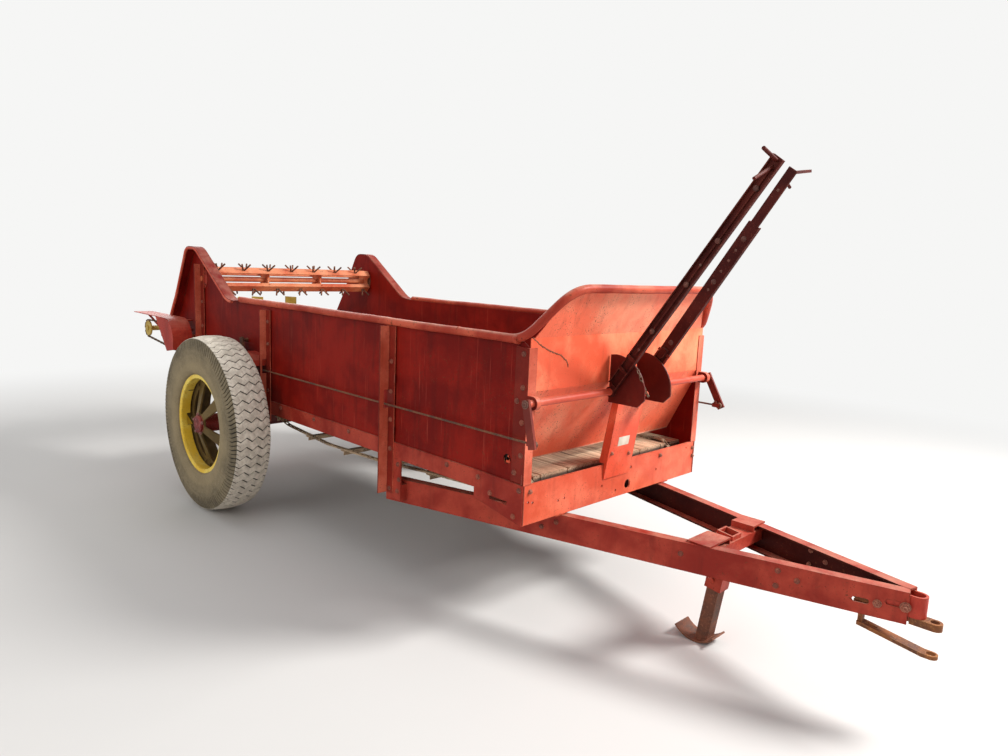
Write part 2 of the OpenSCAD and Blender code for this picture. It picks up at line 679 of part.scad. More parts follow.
// A toothed beater: angle bars round a shaft, with splayed pairs of teeth on each bar.
module beater(x, z, bar_r, tip_r, pairs, bar_w) {
    half = half_w - sheet_t - 12;
    step = 2 * half / pairs;
    from_sill() {
        y_bar(x, z, -half_w - 14, half_w + 14, beater_shaft_d);
        for (k = [0:3]) translate([x, 0, z]) rotate([0, 45 + k * 90, 0]) {
            block([-bar_w / 2, -half, bar_r - 5], [bar_w / 2, half, bar_r]);
            block([-bar_w / 2, -half, bar_r - bar_w * 0.6], [-bar_w / 2 + 5, half, bar_r]);
            for (i = [0:pairs - 1], s = [-1, 1])
                translate([0, -half + (i + (k % 2 == 0 ? 0.3 : 0.7)) * step + s * 3, bar_r - 2])
                    rotate([-s * 24, 0, 0])
                        cylinder(d = 10, h = (tip_r - bar_r - 2) / cos(24), $fn = 16);
        }
        for (i = [0:3]) translate([0, -half + i * (2 * half - 10) / 3, 0])
            difference() {
                y_bar(x, z, 0, 10, 2 * bar_r - 12);
                for (a = [0:90:270]) translate([x, 0, z]) rotate([0, a, 0])
                    y_bar(0, bar_r - 8, -1, 11, bar_r * 0.7);
            }
    }
}
module upper_beater() {
    color("orangered") {
        beater(-upper_x, upper_z, 78, upper_r, 7, 46);
        from_sill() {
            y_bar(-upper_x, upper_z, half_w, beater_chain_y + 10, beater_shaft_d);
            y_bar(-upper_x, upper_z, beater_chain_y - 5, beater_chain_y + 5, 2 * upper_wheel_r);
        }
    }
}
module main_beater() {
    color("orangered") {
        beater(-main_x, main_z, 125, main_r, 7, 60);
        from_sill() {
            y_bar(-main_x, main_z, drive_y - 12, -half_w, beater_shaft_d);
            y_bar(-main_x, main_z, drive_y - 5, drive_y + 5, 2 * main_wheel_r);
            y_bar(-main_x, main_z, half_w, beater_chain_y + 10, beater_shaft_d);
            for (y = [axle_chain_y, beater_chain_y]) y_bar(-main_x, main_z, y - 5, y + 5, 2 * main_wheel_r);
        }
    }
}

// Round bearing plates inside the sides, at both ends of both beaters.
module beater_bearings() {
    color("saddlebrown") from_sill() for (c = [[-upper_x, upper_z, 62], [-main_x, main_z, 75]])
        for (y = [-half_w + sheet_t, half_w - sheet_t - 6]) difference() {
            y_bar(c[0], c[1], y, y + 6, 2 * c[2]);
            y_bar(c[0], c[1], y - 2, y + 8, beater_shaft_d + 2 * run_fit);
        }
}

// Distributor: paddles in a screw round a shaft, one hand on each half.
module distributor() {
    color("gold") from_sill() {
        y_bar(-spread_x, spread_z, drive_y - 12, half_w + 30, beater_shaft_d);
        y_bar(-spread_x, spread_z, drive_y - 5, drive_y + 5, 2 * spread_wheel_r);
        for (s = [-1, 1], i = [0:3])
            translate([-spread_x, s * (70 + i * 130), spread_z]) rotate([0, i * 90, 0])
                for (f = [0, 180]) rotate([0, f, 0]) rotate([0, 0, s * 30])
                    block([-45, -3, 0], [45, 3, spread_r]);
    }
}

module distributor_arms() {
    color("firebrick") from_sill() {
        for (s = [-1, 1]) translate([0, s * (half_w + 4), 0]) difference() {
            plate_xz([[-side_end_x + 90, spread_z - 130], [-side_end_x + 90, spread_z + 40],
                      [-spread_x - 60, spread_z + 70], [-spread_x - 60, spread_z - 60]], 0, 8);
            y_bar(-spread_x, spread_z, -20, 20, beater_shaft_d + 2 * run_fit);
        }
        bar([-spread_x - 20, -guard_in_y - 40, spread_z + 95],
            [-side_end_x - 60, -half_w - 6, spread_z - 80], 14);
    }
}

module drive_guard() {
    arc = [for (a = [0:9:90]) [-main_x + guard_r * cos(a), main_z + guard_r * sin(a)]];
    path = concat([[-main_x + guard_r - 4, main_z - 60]], arc, [[-spread_x - 50, main_z + guard_r]]);
    color("firebrick") from_sill() {
        plate_xz(strip(path, 4), -(guard_in_y + guard_out_y) / 2, guard_out_y - guard_in_y);
        plate_xz(concat([[-main_x - 150, main_z + guard_r], [-main_x + 20, main_z - 75],
                         [-main_x + guard_r - 4, main_z - 60]], arc), -guard_out_y + 2, 4);
        block([-main_x - 60, -guard_in_y - 1, main_z + guard_r - 24],
              [-main_x - 20, -half_w, main_z + guard_r - 18]);
        block([-main_x - 60, -guard_in_y - 5, main_z + guard_r - 24],
              [-main_x - 20, -guard_in_y, main_z + guard_r]);
    }
}

// Chain round two wheels of radii ra and rb, w wide about the plane y.
module chain_loop(xa, za, ra, xb, zb, rb, y, w) {
    translate([0, y + w / 2, 0]) rotate([90, 0, 0]) linear_extrude(w) difference() {
        hull() {
            translate([xa, za]) circle(r = ra + 10, $fn = 96);
            translate([xb, zb]) circle(r = rb + 10, $fn = 96);
        }
        hull() {
            translate([xa, za]) circle(r = ra + 0.4, $fn = 96);
            translate([xb, zb]) circle(r = rb + 0.4, $fn = 96);
        }
    }
}
module drive_chain() {
    color("sienna") from_sill()
        chain_loop(-main_x, main_z, main_wheel_r, -spread_x, spread_z, spread_wheel_r, drive_y, 16);
}
module beater_chain() {
    color("sienna") from_sill()
        chain_loop(-main_x, main_z, main_wheel_r, -upper_x, upper_z, upper_wheel_r, beater_chain_y, 14);
}
module axle_chain() {
    color("sienna") from_sill()
        chain_loop(-axle_x, axle_z, axle_wheel_r, -main_x, main_z, main_wheel_r, axle_chain_y, 14);
}

drawbar_rail_right();
drawbar_rail_left();
hitch_jaws();
stand_bracket();
stand_leg();
front_sill();
frame_crossers();
base_angle_right();
base_angle_left();
side_right();
side_left();
posts_right();
posts_left();
bar_hanger_right();
bar_hanger_left();
top_rail();
front_board();
lever_post();
lever_quadrants();
lever_right();
lever_left();
rod_right();
rod_left();
arm_right();
arm_left();
ratchet_guard();
floor_boards();
apron_chain();
apron_front_shaft();
apron_rear_shaft();
axle_beam();
axle_mounts();
axle_chain();
wheel_right();
wheel_left();
tyre_right();
tyre_left();
upper_beater();
main_beater();
beater_bearings();
beater_chain();
distributor();
distributor_arms();
drive_guard();
drive_chain();
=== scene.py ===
import bpy
import math
import numpy as np
from mathutils import Matrix, Vector


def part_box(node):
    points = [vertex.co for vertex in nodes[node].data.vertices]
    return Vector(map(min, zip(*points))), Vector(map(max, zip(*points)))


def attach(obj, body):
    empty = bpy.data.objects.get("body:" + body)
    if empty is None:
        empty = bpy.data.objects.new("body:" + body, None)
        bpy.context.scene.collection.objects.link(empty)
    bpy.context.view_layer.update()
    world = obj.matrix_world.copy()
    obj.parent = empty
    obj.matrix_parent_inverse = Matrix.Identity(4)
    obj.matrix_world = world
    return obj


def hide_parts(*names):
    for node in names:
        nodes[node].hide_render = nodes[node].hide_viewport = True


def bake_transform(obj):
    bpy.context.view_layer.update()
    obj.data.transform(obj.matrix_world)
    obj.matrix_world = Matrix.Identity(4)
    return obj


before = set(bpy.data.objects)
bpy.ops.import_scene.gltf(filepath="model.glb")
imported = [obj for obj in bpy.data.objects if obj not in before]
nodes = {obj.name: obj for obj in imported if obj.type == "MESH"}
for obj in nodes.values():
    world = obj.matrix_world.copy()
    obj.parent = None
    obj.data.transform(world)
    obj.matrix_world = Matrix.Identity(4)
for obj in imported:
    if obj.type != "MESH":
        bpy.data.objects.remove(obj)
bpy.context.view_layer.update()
rng = np.random.default_rng(7)


# the camera stands ahead of the right front corner, as solved from the lines of the box
cameraSetup = {
    "place": (2.8221, -2.4005, 1.3725),
    "yaw": 44.72,      # degrees left of straight across
    "pitch": 8.92,     # degrees down
    "roll": 2.47,
    "focalPixels": 733.09,
    "framePixels": 1008,
    "filmWide": 36,
}


def makeCamera(setup):
    # forward is straight across turned by yaw and lowered by pitch; roll turns right and up about it
    yaw, pitch, roll = (math.radians(setup[k]) for k in ("yaw", "pitch", "roll"))
    forward = Vector((-math.sin(yaw) * math.cos(pitch), math.cos(yaw) * math.cos(pitch), -math.sin(pitch)))
    right = Vector((math.cos(yaw), math.sin(yaw), 0))
    up = right.cross(forward)
    rightTurned = right * math.cos(roll) + up * math.sin(roll)
    upTurned = up * math.cos(roll) - right * math.sin(roll)
    cam = bpy.data.cameras.new("camera")
    cam.sensor_width = setup["filmWide"]
    cam.lens = setup["filmWide"] * setup["focalPixels"] / setup["framePixels"]
    obj = bpy.data.objects.new("camera", cam)
    bpy.context.scene.collection.objects.link(obj)
    turn = Matrix((rightTurned, upTurned, -forward)).transposed().to_4x4()
    turn.translation = Vector(setup["place"])
    obj.matrix_world = turn
    bpy.context.scene.camera = obj


# a large soft key from the front left, with weak fills from the other sides
lampSetup = {
    "key": {"place": (4.4, 3.2, 4.6), "size": 2.0, "power": 620},
    "sideFill": {"place": (0.5, -6.5, 3.6), "size": 4.5, "power": 105},
    "rearFill": {"place": (-6.0, 2.0, 3.5), "size": 4.0, "power": 100},
    "topFill": {"place": (-0.5, 0.0, 6.0), "size": 5.0, "power": 90},
}
lampAim = (0.1, 0, 0.7)
floorTone = {"colour": (205, 202, 198), "radius": 30.0, "height": -0.0006, "fadeFrom": 3.2, "fadeTo": 6.5}
worldTone = {"sky": (0.93, 0.96, 1.0, 1.0), "light": 0.46, "backdrop": (246, 246, 245)}


def makeLamps():
    for name, s in lampSetup.items():
        lamp = bpy.data.lights.new(name, "AREA")
        lamp.shape = "DISK"
        lamp.size = s["size"]
        lamp.energy = s["power"]
        obj = bpy.data.objects.new(name, lamp)
        obj.location = s["place"]
        aim = Vector(lampAim) - Vector(s["place"])
        obj.rotation_euler = aim.to_track_quat("-Z", "Y").to_euler()
        bpy.context.scene.collection.objects.link(obj)


def tone(r, g, b):
    # screen values 0 to 255 turned into linear light
    c = np.array([r, g, b]) / 255
    lin = np.where(c <= 0.04045, c / 12.92, ((c + 0.055) / 1.055) ** 2.4)
    return (float(lin[0]), float(lin[1]), float(lin[2]), 1.0)


def shades(look):
    # a finish whose screen colours are turned into linear light
    return {key: tone(*value) if isinstance(value, tuple) else value for key, value in look.items()}


# helpers for node materials
def feed(tree, socket, value):
    # a number or colour is set on the socket, another node's output is linked to it
    if isinstance(value, bpy.types.NodeSocket):
        tree.links.new(value, socket)
    else:
        socket.default_value = value


def add(tree, kind, values=None):
    # a new node with some of its inputs set or linked
    node = tree.nodes.new("ShaderNode" + kind)
    for key, value in (values or {}).items():
        feed(tree, node.inputs[key], value)
    return node


def startMaterial(name):
    mat = bpy.data.materials.new(name)
    mat.use_nodes = True
    tree = mat.node_tree
    return mat, tree, tree.nodes["Principled BSDF"]


def coords(tree, scale=(1, 1, 1)):
    # object coordinates in metres, stretched along each axis
    where = add(tree, "TexCoord")
    return add(tree, "Mapping", {"Vector": where.outputs["Object"], "Scale": scale}).outputs["Vector"]


def ownValue(tree, key):
    node = add(tree, "Attribute")
    node.attribute_name = key
    return node.outputs["Fac"]


def noise(tree, vector, scale, detail, rough, distort=0.0):
    return add(tree, "TexNoise", {"Vector": vector, "Scale": scale, "Detail": detail, "Roughness": rough,
                                  "Distortion": distort}).outputs["Fac"]


def steps(tree, value, low, high, lowOut=0.0, highOut=1.0):
    # value stretched so that low gives lowOut and high gives highOut, smooth and clamped between
    ramp = add(tree, "MapRange", {"Value": value, "From Min": low, "From Max": high,
                                  "To Min": lowOut, "To Max": highOut})
    ramp.interpolation_type = "SMOOTHSTEP"
    return ramp.outputs["Result"]


def worked(tree, kind, a, b):
    # two values put through one operation and clamped between 0 and 1
    node = add(tree, "Math")
    node.operation = kind
    node.use_clamp = True
    feed(tree, node.inputs[0], a)
    feed(tree, node.inputs[1], b)
    return node.outputs[0]


def times(tree, a, b):
    return worked(tree, "MULTIPLY", a, b)


def plus(tree, a, b):
    return worked(tree, "ADD", a, b)


def most(tree, a, b):
    return worked(tree, "MAXIMUM", a, b)


def weighed(tree, a, shareA, b, shareB):
    return plus(tree, times(tree, a, shareA), times(tree, b, shareB))


def blend(tree, share, first, second):
    # colour mix: share 0 gives first, 1 gives second
    node = add(tree, "Mix")
    node.data_type = "RGBA"
    for index, value in ((0, share), (6, first), (7, second)):
        feed(tree, node.inputs[index], value)
    return node.outputs[2]


def mixShaders(tree, share, first, second):
    node = add(tree, "MixShader")
    for index, value in enumerate((share, first, second)):
        feed(tree, node.inputs[index], value)
    return node.outputs[0]


def bump(tree, shader, height, strength, distance):
    node = add(tree, "Bump", {"Strength": strength, "Distance": distance, "Height": height})
    feed(tree, shader.inputs["Normal"], node.outputs["Normal"])


def edgeWear(tree, radius):
    # how far the surface's own direction departs from the rounded one near an edge
    soft = add(tree, "Bevel", {"Radius": radius})
    soft.samples = 4
    dot = add(tree, "VectorMath")
    dot.operation = "DOT_PRODUCT"
    feed(tree, dot.inputs[0], soft.outputs["Normal"])
    feed(tree, dot.inputs[1], add(tree, "NewGeometry").outputs["Normal"])
    return steps(tree, dot.outputs["Value"], 0.995, 0.90)


def upward(tree):
    # 1 where the surface faces up
    apart = add(tree, "SeparateXYZ", {"Vector": add(tree, "NewGeometry").outputs["Normal"]})
    return steps(tree, apart.outputs["Z"], 0.35, 0.95)


def makeWorld():
    # soft light for the object, the plain backdrop for the camera, for mirrors and for glass
    world = bpy.data.worlds.new("studio")
    world.use_nodes = True
    tree = world.node_tree
    tree.nodes.clear()
    rays = add(tree, "LightPath").outputs
    seen = most(tree, most(tree, rays["Is Camera Ray"], rays["Is Transmission Ray"]), rays["Is Glossy Ray"])
    soft = add(tree, "Background", {"Color": worldTone["sky"], "Strength": worldTone["light"]})
    plain = add(tree, "Background", {"Color": tone(*worldTone["backdrop"]), "Strength": 1.0})
    add(tree, "OutputWorld", {"Surface": mixShaders(tree, seen, soft.outputs[0], plain.outputs[0])})
    bpy.context.scene.world = world
    bpy.context.scene.view_settings.view_transform = "Standard"


# old enamel: fresh and faded patches, rust blooms, streaks that run down, worn edges and dust on top
def oldPaint(name, look):
    mat, tree, shader = startMaterial(name)
    flat = coords(tree)
    broad = noise(tree, flat, look["fadeScale"], 5, 0.6)
    cloud = noise(tree, flat, 9.0, 8, 0.65, 0.4)
    grit = noise(tree, flat, 95.0, 4, 0.7)
    streak = noise(tree, coords(tree, (9, 9, 0.9)), 3.0, 6, 0.6)
    speck = noise(tree, flat, 38.0, 6, 0.75)
    fade = steps(tree, weighed(tree, broad, 0.6, cloud, 0.4), 0.40, 0.62)
    colour = blend(tree, fade, look["paint"], look["faded"])
    dirty = times(tree, steps(tree, streak, 0.50, 0.72), look["streaks"])
    colour = blend(tree, dirty, colour, look["dirt"])
    # rust starts lower in its field as its share grows
    start = 0.66 - 0.16 * look["rustShare"]
    patches = steps(tree, weighed(tree, cloud, 0.55, speck, 0.45), start, start + 0.07)
    # small chips, thick where the cloud field is high
    chipFrom = look["chipFrom"]
    dots = steps(tree, noise(tree, flat, look["speckScale"], 2, 0.5), chipFrom, chipFrom + 0.04)
    patches = most(tree, patches, times(tree, dots, steps(tree, cloud, 0.44, 0.60, 0.15, look["specks"])))
    worn = times(tree, edgeWear(tree, look["edge"]), steps(tree, speck, 0.42, 0.60))
    rusty = most(tree, patches, times(tree, worn, look["edgeShare"]))
    rustTone = blend(tree, steps(tree, grit, 0.35, 0.65), look["rustDark"], look["rust"])
    colour = blend(tree, rusty, colour, rustTone)
    if "scratches" in look:
        lines = noise(tree, coords(tree, (46, 46, 1.1)), 3.0, 3, 0.6)
        scratch = times(tree, steps(tree, lines, 0.64, 0.70), look["scratches"])
        colour = blend(tree, scratch, colour, look["scratchTone"])
    dust = times(tree, upward(tree), times(tree, steps(tree, cloud, 0.3, 0.7), look["dust"]))
    feed(tree, shader.inputs["Base Color"], blend(tree, dust, colour, look["dustTone"]))
    rough = most(tree, steps(tree, rusty, 0, 1, look["gloss"], 0.88), steps(tree, grit, 0.3, 0.8, 0.35, 0.6))
    feed(tree, shader.inputs["Roughness"], rough)
    shader.inputs["Specular IOR Level"].default_value = look["specular"]
    height = plus(tree, times(tree, rusty, 0.35), weighed(tree, grit, 0.25, broad, 0.4))
    bump(tree, shader, height, look["bump"], 0.004)
    return mat


# what every old paint has unless its own line says otherwise
paintBase = dict(dirt=(74, 26, 20), rust=(116, 66, 42), rustDark=(62, 34, 26), dustTone=(176, 150, 128),
                 fadeScale=2.2, streaks=0.5, rustShare=0.3, speckScale=150.0, chipFrom=0.64, specks=0.7,
                 edge=0.005, edgeShare=0.85, dust=0.35, gloss=0.42, specular=0.22, bump=0.35)
paintLooks = {
    "frontPaint": dict(paint=(226, 80, 50), faded=(250, 122, 86), rustShare=0.2, streaks=0.3, dust=0.2,
                       dirt=(170, 58, 40), specks=0.75, speckScale=190.0, chipFrom=0.625),
    # middle and lower flats of the front sheet: the front coral in lighter tones, painted light by how each
    # flat faces; their specks differ for real
    "frontMidPaintedLight": dict(paint=(246, 100, 66), faded=(255, 146, 106), rustShare=0.12, streaks=0.2, dust=0.2,
                     dirt=(190, 72, 50), specks=0.3, speckScale=190.0),
    "frontLowPaintedLight": dict(paint=(250, 116, 82), faded=(255, 156, 120), rustShare=0.2, streaks=0.3, dust=0.2,
                     dirt=(186, 72, 52), specks=0.8, speckScale=180.0, chipFrom=0.625),
    # the sill: the front coral made lighter, painted light as if strongly lit
    "sillPaintedLight": dict(paint=(206, 80, 52), faded=(236, 116, 84), rustShare=0.16, streaks=0.28, dust=0.2,
                      dirt=(150, 52, 34), speckScale=180.0),
    # side sheets: the box's red made darker, painted shade of the sides turned from the light; its streaks,
    # rust and scratches are real marks
    "sidePaintedShade": dict(paint=(112, 14, 8), faded=(142, 26, 15), rustShare=0.12, streaks=0.35, dust=0.3,
                      dirt=(58, 12, 9), specular=0.10, gloss=0.52, scratches=0.5, scratchTone=(176, 70, 54)),
    "framePaint": dict(paint=(140, 38, 28), faded=(182, 70, 52), rustShare=0.34, streaks=0.25, dust=0.4,
                       specular=0.14),
    "railPaint": dict(paint=(160, 52, 36), faded=(206, 94, 68), rustShare=0.40, streaks=0.1, dust=0.5,
                      specular=0.14, specks=0.9, speckScale=90.0),
    "darkPaint": dict(paint=(84, 18, 13), faded=(112, 32, 22), rustShare=0.4, streaks=0.4, dust=0.3),
    "leverPaint": dict(paint=(62, 18, 15), faded=(92, 34, 27), streaks=0.1, dust=0.12, edgeShare=0.8,
                       rust=(150, 88, 70), rustDark=(92, 46, 36), specular=0.10, gloss=0.55),
    "crankPaint": dict(paint=(112, 38, 30), faded=(150, 62, 48), streaks=0.1, dust=0.2),
    "shaftPaint": dict(paint=(196, 76, 54), faded=(232, 120, 92), rustShare=0.26, streaks=0.1, dust=0.3),
    "postPaint": dict(paint=(196, 82, 58), faded=(230, 122, 94), rustShare=0.22, streaks=0.2, dust=0.3),
    # inner faces of the drawbar rails: a near-black red, painted shade of the channel's inside
    "railInnerPaintedShade": dict(paint=(52, 13, 10), faded=(70, 22, 16), rustShare=0.2, streaks=0.2, dust=0.3,
                      specular=0.10),
    # the posts' faces turned to the sides: the post red made darker, painted shade
    "postSidePaintedShade": dict(paint=(112, 28, 20), faded=(142, 46, 34), rustShare=0.24, streaks=0.3, dust=0.3,
                     specular=0.12),
    "guardPaint": dict(paint=(166, 42, 30), faded=(200, 74, 54), rustShare=0.36, streaks=0.3, dust=0.3),
    # wheel disc and the inner part of the rim's ring: the wheel yellow made dull dark olive, painted shade
    # inside the dish
    "discPaint": dict(paint=(88, 70, 36), faded=(120, 98, 56), rustShare=0.34, streaks=0.3, dust=0.2,
                      dirt=(52, 42, 26)),
    # hub: its rust tones are pinkish white and are painted highlights on its edges and in patches
    "hubRedPaintedHighlight": dict(paint=(104, 22, 20), faded=(140, 50, 44), rustShare=0.2, streaks=0.1, dust=0.1,
                   edgeShare=0.9, rust=(196, 140, 132), rustDark=(150, 84, 78)),
    "beaterPaint": dict(paint=(184, 80, 50), faded=(218, 134, 92), rustShare=0.42, streaks=0.1, dust=0.3),
    "wheelPaint": dict(paint=(238, 192, 56), faded=(252, 224, 108), rustShare=0.26, streaks=0.2, dust=0.2,
                       dirt=(120, 92, 50)),
    "paddlePaint": dict(paint=(188, 152, 58), faded=(214, 186, 96), rustShare=0.38, streaks=0.3, dust=0.3),
}


# bare iron: clouds of dark and light rust with paler flecks and rubbed edges
def bareRust(name, look):
    mat, tree, shader = startMaterial(name)
    flat = coords(tree)
    cloud = noise(tree, flat, 14.0, 8, 0.7, 0.5)
    grit = noise(tree, flat, 140.0, 4, 0.7)
    colour = blend(tree, steps(tree, cloud, 0.36, 0.64), look["dark"], look["light"])
    colour = blend(tree, steps(tree, grit, 0.52, 0.75), colour, look["fleck"])
    colour = blend(tree, times(tree, edgeWear(tree, 0.004), 0.5), colour, look["edge"])
    feed(tree, shader.inputs["Base Color"], colour)
    feed(tree, shader.inputs["Roughness"], steps(tree, cloud, 0.3, 0.7, 0.62, 0.9))
    shader.inputs["Metallic"].default_value = look["metal"]
    bump(tree, shader, weighed(tree, cloud, 0.5, grit, 0.4), 0.45, 0.002)
    return mat


def iron(dark, light, fleck, edge, metal=0.1):
    return dict(dark=dark, light=light, fleck=fleck, edge=edge, metal=metal)


rustLooks = {
    "rustIron": iron((66, 40, 30), (124, 76, 50), (150, 100, 66), (150, 116, 88), 0.15),
    "hitchIron": iron((84, 44, 26), (146, 88, 46), (176, 122, 66), (188, 136, 82), 0.15),
    "standIron": iron((70, 44, 32), (124, 74, 52), (150, 92, 68), (160, 110, 84), 0.15),
    "chainSteel": iron((58, 42, 34), (108, 78, 58), (140, 112, 86), (160, 138, 112), 0.4),
    "boltSteel": iron((92, 40, 30), (150, 74, 54), (186, 124, 98), (206, 148, 120)),
    # hub nuts and cap: the pinkish-white flecks and edges are painted highlights
    "hubPaint": iron((88, 22, 20), (128, 48, 42), (206, 158, 148), (214, 172, 162)),
    "leverBolt": iron((70, 34, 28), (112, 62, 50), (150, 104, 86), (170, 130, 112)),
    "weldPaint": iron((120, 40, 30), (160, 66, 48), (176, 96, 70), (180, 100, 76), 0.15),
    # apron links and slats: pale tan, lighter than the other chains, painted sunlight on them
    "apronSteel": iron((112, 90, 68), (184, 156, 122), (214, 190, 156), (226, 202, 170)),
    "dustyEdge": iron((186, 112, 84), (222, 162, 128), (230, 190, 160), (232, 192, 164), 0.0),
    # near black, for the disc that stands in for the shadow inside the hole
    "holeDark": iron((24, 14, 12), (34, 20, 16), (40, 24, 20), (30, 18, 14), 0.15),
}

labelLook = {"clean": (224, 216, 200), "stained": (208, 192, 170)}


def blankLabel(name, look):
    # a bare sticker, bleached and stained
    mat, tree, shader = startMaterial(name)
    stain = steps(tree, noise(tree, coords(tree), 14.0, 2, 0.5), 0.4, 0.7)
    feed(tree, shader.inputs["Base Color"], blend(tree, stain, look["clean"], look["stained"]))
    shader.inputs["Roughness"].default_value = 0.7
    return mat


# under: near black, painted shade on the boards' sides and undersides in the gaps
woodLook = {"dark": (146, 112, 84), "light": (232, 198, 162), "board": (146, 108, 78), "stain": (86, 62, 44),
            "split": (46, 32, 24), "under": (38, 26, 20)}


def plankWood(name, look):
    # long grain along X, each board a tone of its own, with stains and splits; its sides and underside are
    # dark as painted shade in the gaps between boards
    mat, tree, shader = startMaterial(name)
    grain = noise(tree, coords(tree, (1.2, 42, 42)), 4.0, 8, 0.65, 0.6)
    fine = noise(tree, coords(tree, (6, 220, 220)), 3.0, 4, 0.6)
    board = noise(tree, coords(tree, (0.05, 6.2, 0.1)), 1.0, 0, 0.5)
    stain = noise(tree, coords(tree), 5.0, 6, 0.6)
    split = noise(tree, coords(tree, (0.9, 70, 20)), 2.6, 3, 0.5)
    colour = blend(tree, steps(tree, grain, 0.35, 0.62), look["dark"], look["light"])
    # each layer: its field, where it starts, where it is full, its share and its colour
    # the last layer darkens the sides and underside, painted shade in the gaps
    layers = ((board, 0.35, 0.65, 0.45, "board"), (stain, 0.52, 0.72, 0.5, "stain"),
              (split, 0.64, 0.67, 0.85, "split"), (ownValue(tree, "side"), 0.2, 0.8, 0.9, "under"))
    for field, low, high, share, key in layers:
        colour = blend(tree, steps(tree, field, low, high, 0.0, share), colour, look[key])
    feed(tree, shader.inputs["Base Color"], colour)
    shader.inputs["Roughness"].default_value = 0.86
    bump(tree, shader, weighed(tree, grain, 0.7, fine, 0.3), 0.6, 0.003)
    return mat


# tread tones are lightened as painted light, wall tones darkened as painted shade
tyreTonesPaintedLightAndShade = {"wall": (90, 80, 62), "wallDry": (130, 116, 90), "ring": (168, 148, 110), "crack": (84, 74, 56),
            "tread": (196, 185, 168), "treadDry": (234, 223, 206), "dust": (196, 180, 156),
            "groove": (44, 40, 36)}


def tyreRubber(name, look):
    # weathered rubber: dusty grey tread made near white as painted light, tan sidewalls made darker as
    # painted shade, with a paler ring and dark cuts
    mat, tree, shader = startMaterial(name)
    flat = coords(tree)
    cloud = noise(tree, flat, 7.0, 7, 0.65)
    grit = noise(tree, flat, 160.0, 4, 0.7)
    dust = noise(tree, flat, 28.0, 6, 0.7)
    crack = noise(tree, coords(tree, (30, 4, 30)), 3.0, 6, 0.7)
    wall = blend(tree, steps(tree, cloud, 0.34, 0.66), look["wall"], look["wallDry"])
    wall = blend(tree, times(tree, ownValue(tree, "ring"), 0.6), wall, look["ring"])
    wall = blend(tree, steps(tree, crack, 0.56, 0.72, 0.0, 0.35), wall, look["crack"])
    tread = blend(tree, steps(tree, dust, 0.34, 0.66), look["tread"], look["treadDry"])
    colour = blend(tree, ownValue(tree, "tread"), wall, tread)
    colour = blend(tree, steps(tree, grit, 0.5, 0.75, 0.0, 0.3), colour, look["dust"])
    colour = blend(tree, steps(tree, ownValue(tree, "groove"), 0.12, 0.62), colour, look["groove"])
    feed(tree, shader.inputs["Base Color"], colour)
    shader.inputs["Roughness"].default_value = 0.88
    bump(tree, shader, weighed(tree, grit, 0.5, crack, 0.4), 0.35, 0.002)
    return mat


def floorSurface(name):
    mat, tree, shader = startMaterial(name)
    flat = coords(tree)
    base = floorTone["colour"]
    colour = blend(tree, noise(tree, flat, 1.2, 3, 0.5), tone(*base), tone(*(c + 4 for c in base)))
    feed(tree, shader.inputs["Base Color"], colour)
    shader.inputs["Roughness"].default_value = 0.95
    shader.inputs["Specular IOR Level"].default_value = 0.1
    # far from the object the floor turns into the backdrop's own tone for what the camera sees
    reach = add(tree, "VectorMath")
    reach.operation = "LENGTH"
    feed(tree, reach.inputs[0], flat)
    far = steps(tree, reach.outputs["Value"], floorTone["fadeFrom"], floorTone["fadeTo"])
    share = times(tree, far, add(tree, "LightPath").outputs["Is Camera Ray"])
    glow = add(tree, "Emission", {"Color": tone(*worldTone["backdrop"])})
    surface = mixShaders(tree, share, shader.outputs[0], glow.outputs[0])
    feed(tree, tree.nodes["Material Output"].inputs["Surface"], surface)
    return mat


materials = {name: oldPaint(name, shades({**paintBase, **look})) for name, look in paintLooks.items()}
materials.update({name: bareRust(name, shades(look)) for name, look in rustLooks.items()})
materials["plankWood"] = plankWood("plankWood", shades(woodLook))
materials["tyreRubber"] = tyreRubber("tyreRubber", shades(tyreTonesPaintedLightAndShade))
materials["blankLabel"] = blankLabel("blankLabel", shades(labelLook))
print("materials done")

finishOf = {
    "frontPaint": ["front_board", "lever_post"],
    "sillPaintedLight": ["front_sill"],
    "sidePaintedShade": ["side_right", "side_left"],
    "framePaint": ["drawbar_rail_right", "drawbar_rail_left", "stand_bracket", "base_angle_right",
                   "base_angle_left", "bar_hanger_right", "bar_hanger_left", "distributor_arms"],
    "postPaint": ["posts_right", "posts_left"],
    "guardPaint": ["ratchet_guard", "drive_guard"],
    "railPaint": ["top_rail"],
    "darkPaint": ["frame_crossers", "lever_quadrants", "axle_beam", "axle_mounts"],
    "leverPaint": ["lever_right", "lever_left"],
    "beaterPaint": ["upper_beater", "main_beater"],
    "wheelPaint": ["wheel_right", "wheel_left"],
    "paddlePaint": ["distributor"],
    "rustIron": ["rod_right", "rod_left", "arm_right", "arm_left", "beater_bearings"],
    "hitchIron": ["hitch_jaws"],
    "standIron": ["stand_leg"],
    "chainSteel": ["apron_chain", "apron_front_shaft", "apron_rear_shaft", "axle_chain", "beater_chain",
                   "drive_chain"],
    "plankWood": ["floor_boards"],
    "tyreRubber": ["tyre_right", "tyre_left"],
}
for finish, members in finishOf.items():
    for name in members:
        mesh = nodes[name].data
        mesh.materials.clear()
        mesh.materials.append(materials[finish])


# every place below is in millimetres from the front sill, as in the part's source
sillFront = float(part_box("front_sill")[1][0])
boxHalf = -float(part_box("base_angle_right")[0][1]) * 1000 - 6
shaftAt = (26.0, 900.0)    # x and z of the levers' cross shafts


def fromSill(points):
    # from metres in the row's frame to millimetres at the front sill
    return (np.asarray(points) - [sillFront, 0, 0]) * 1000


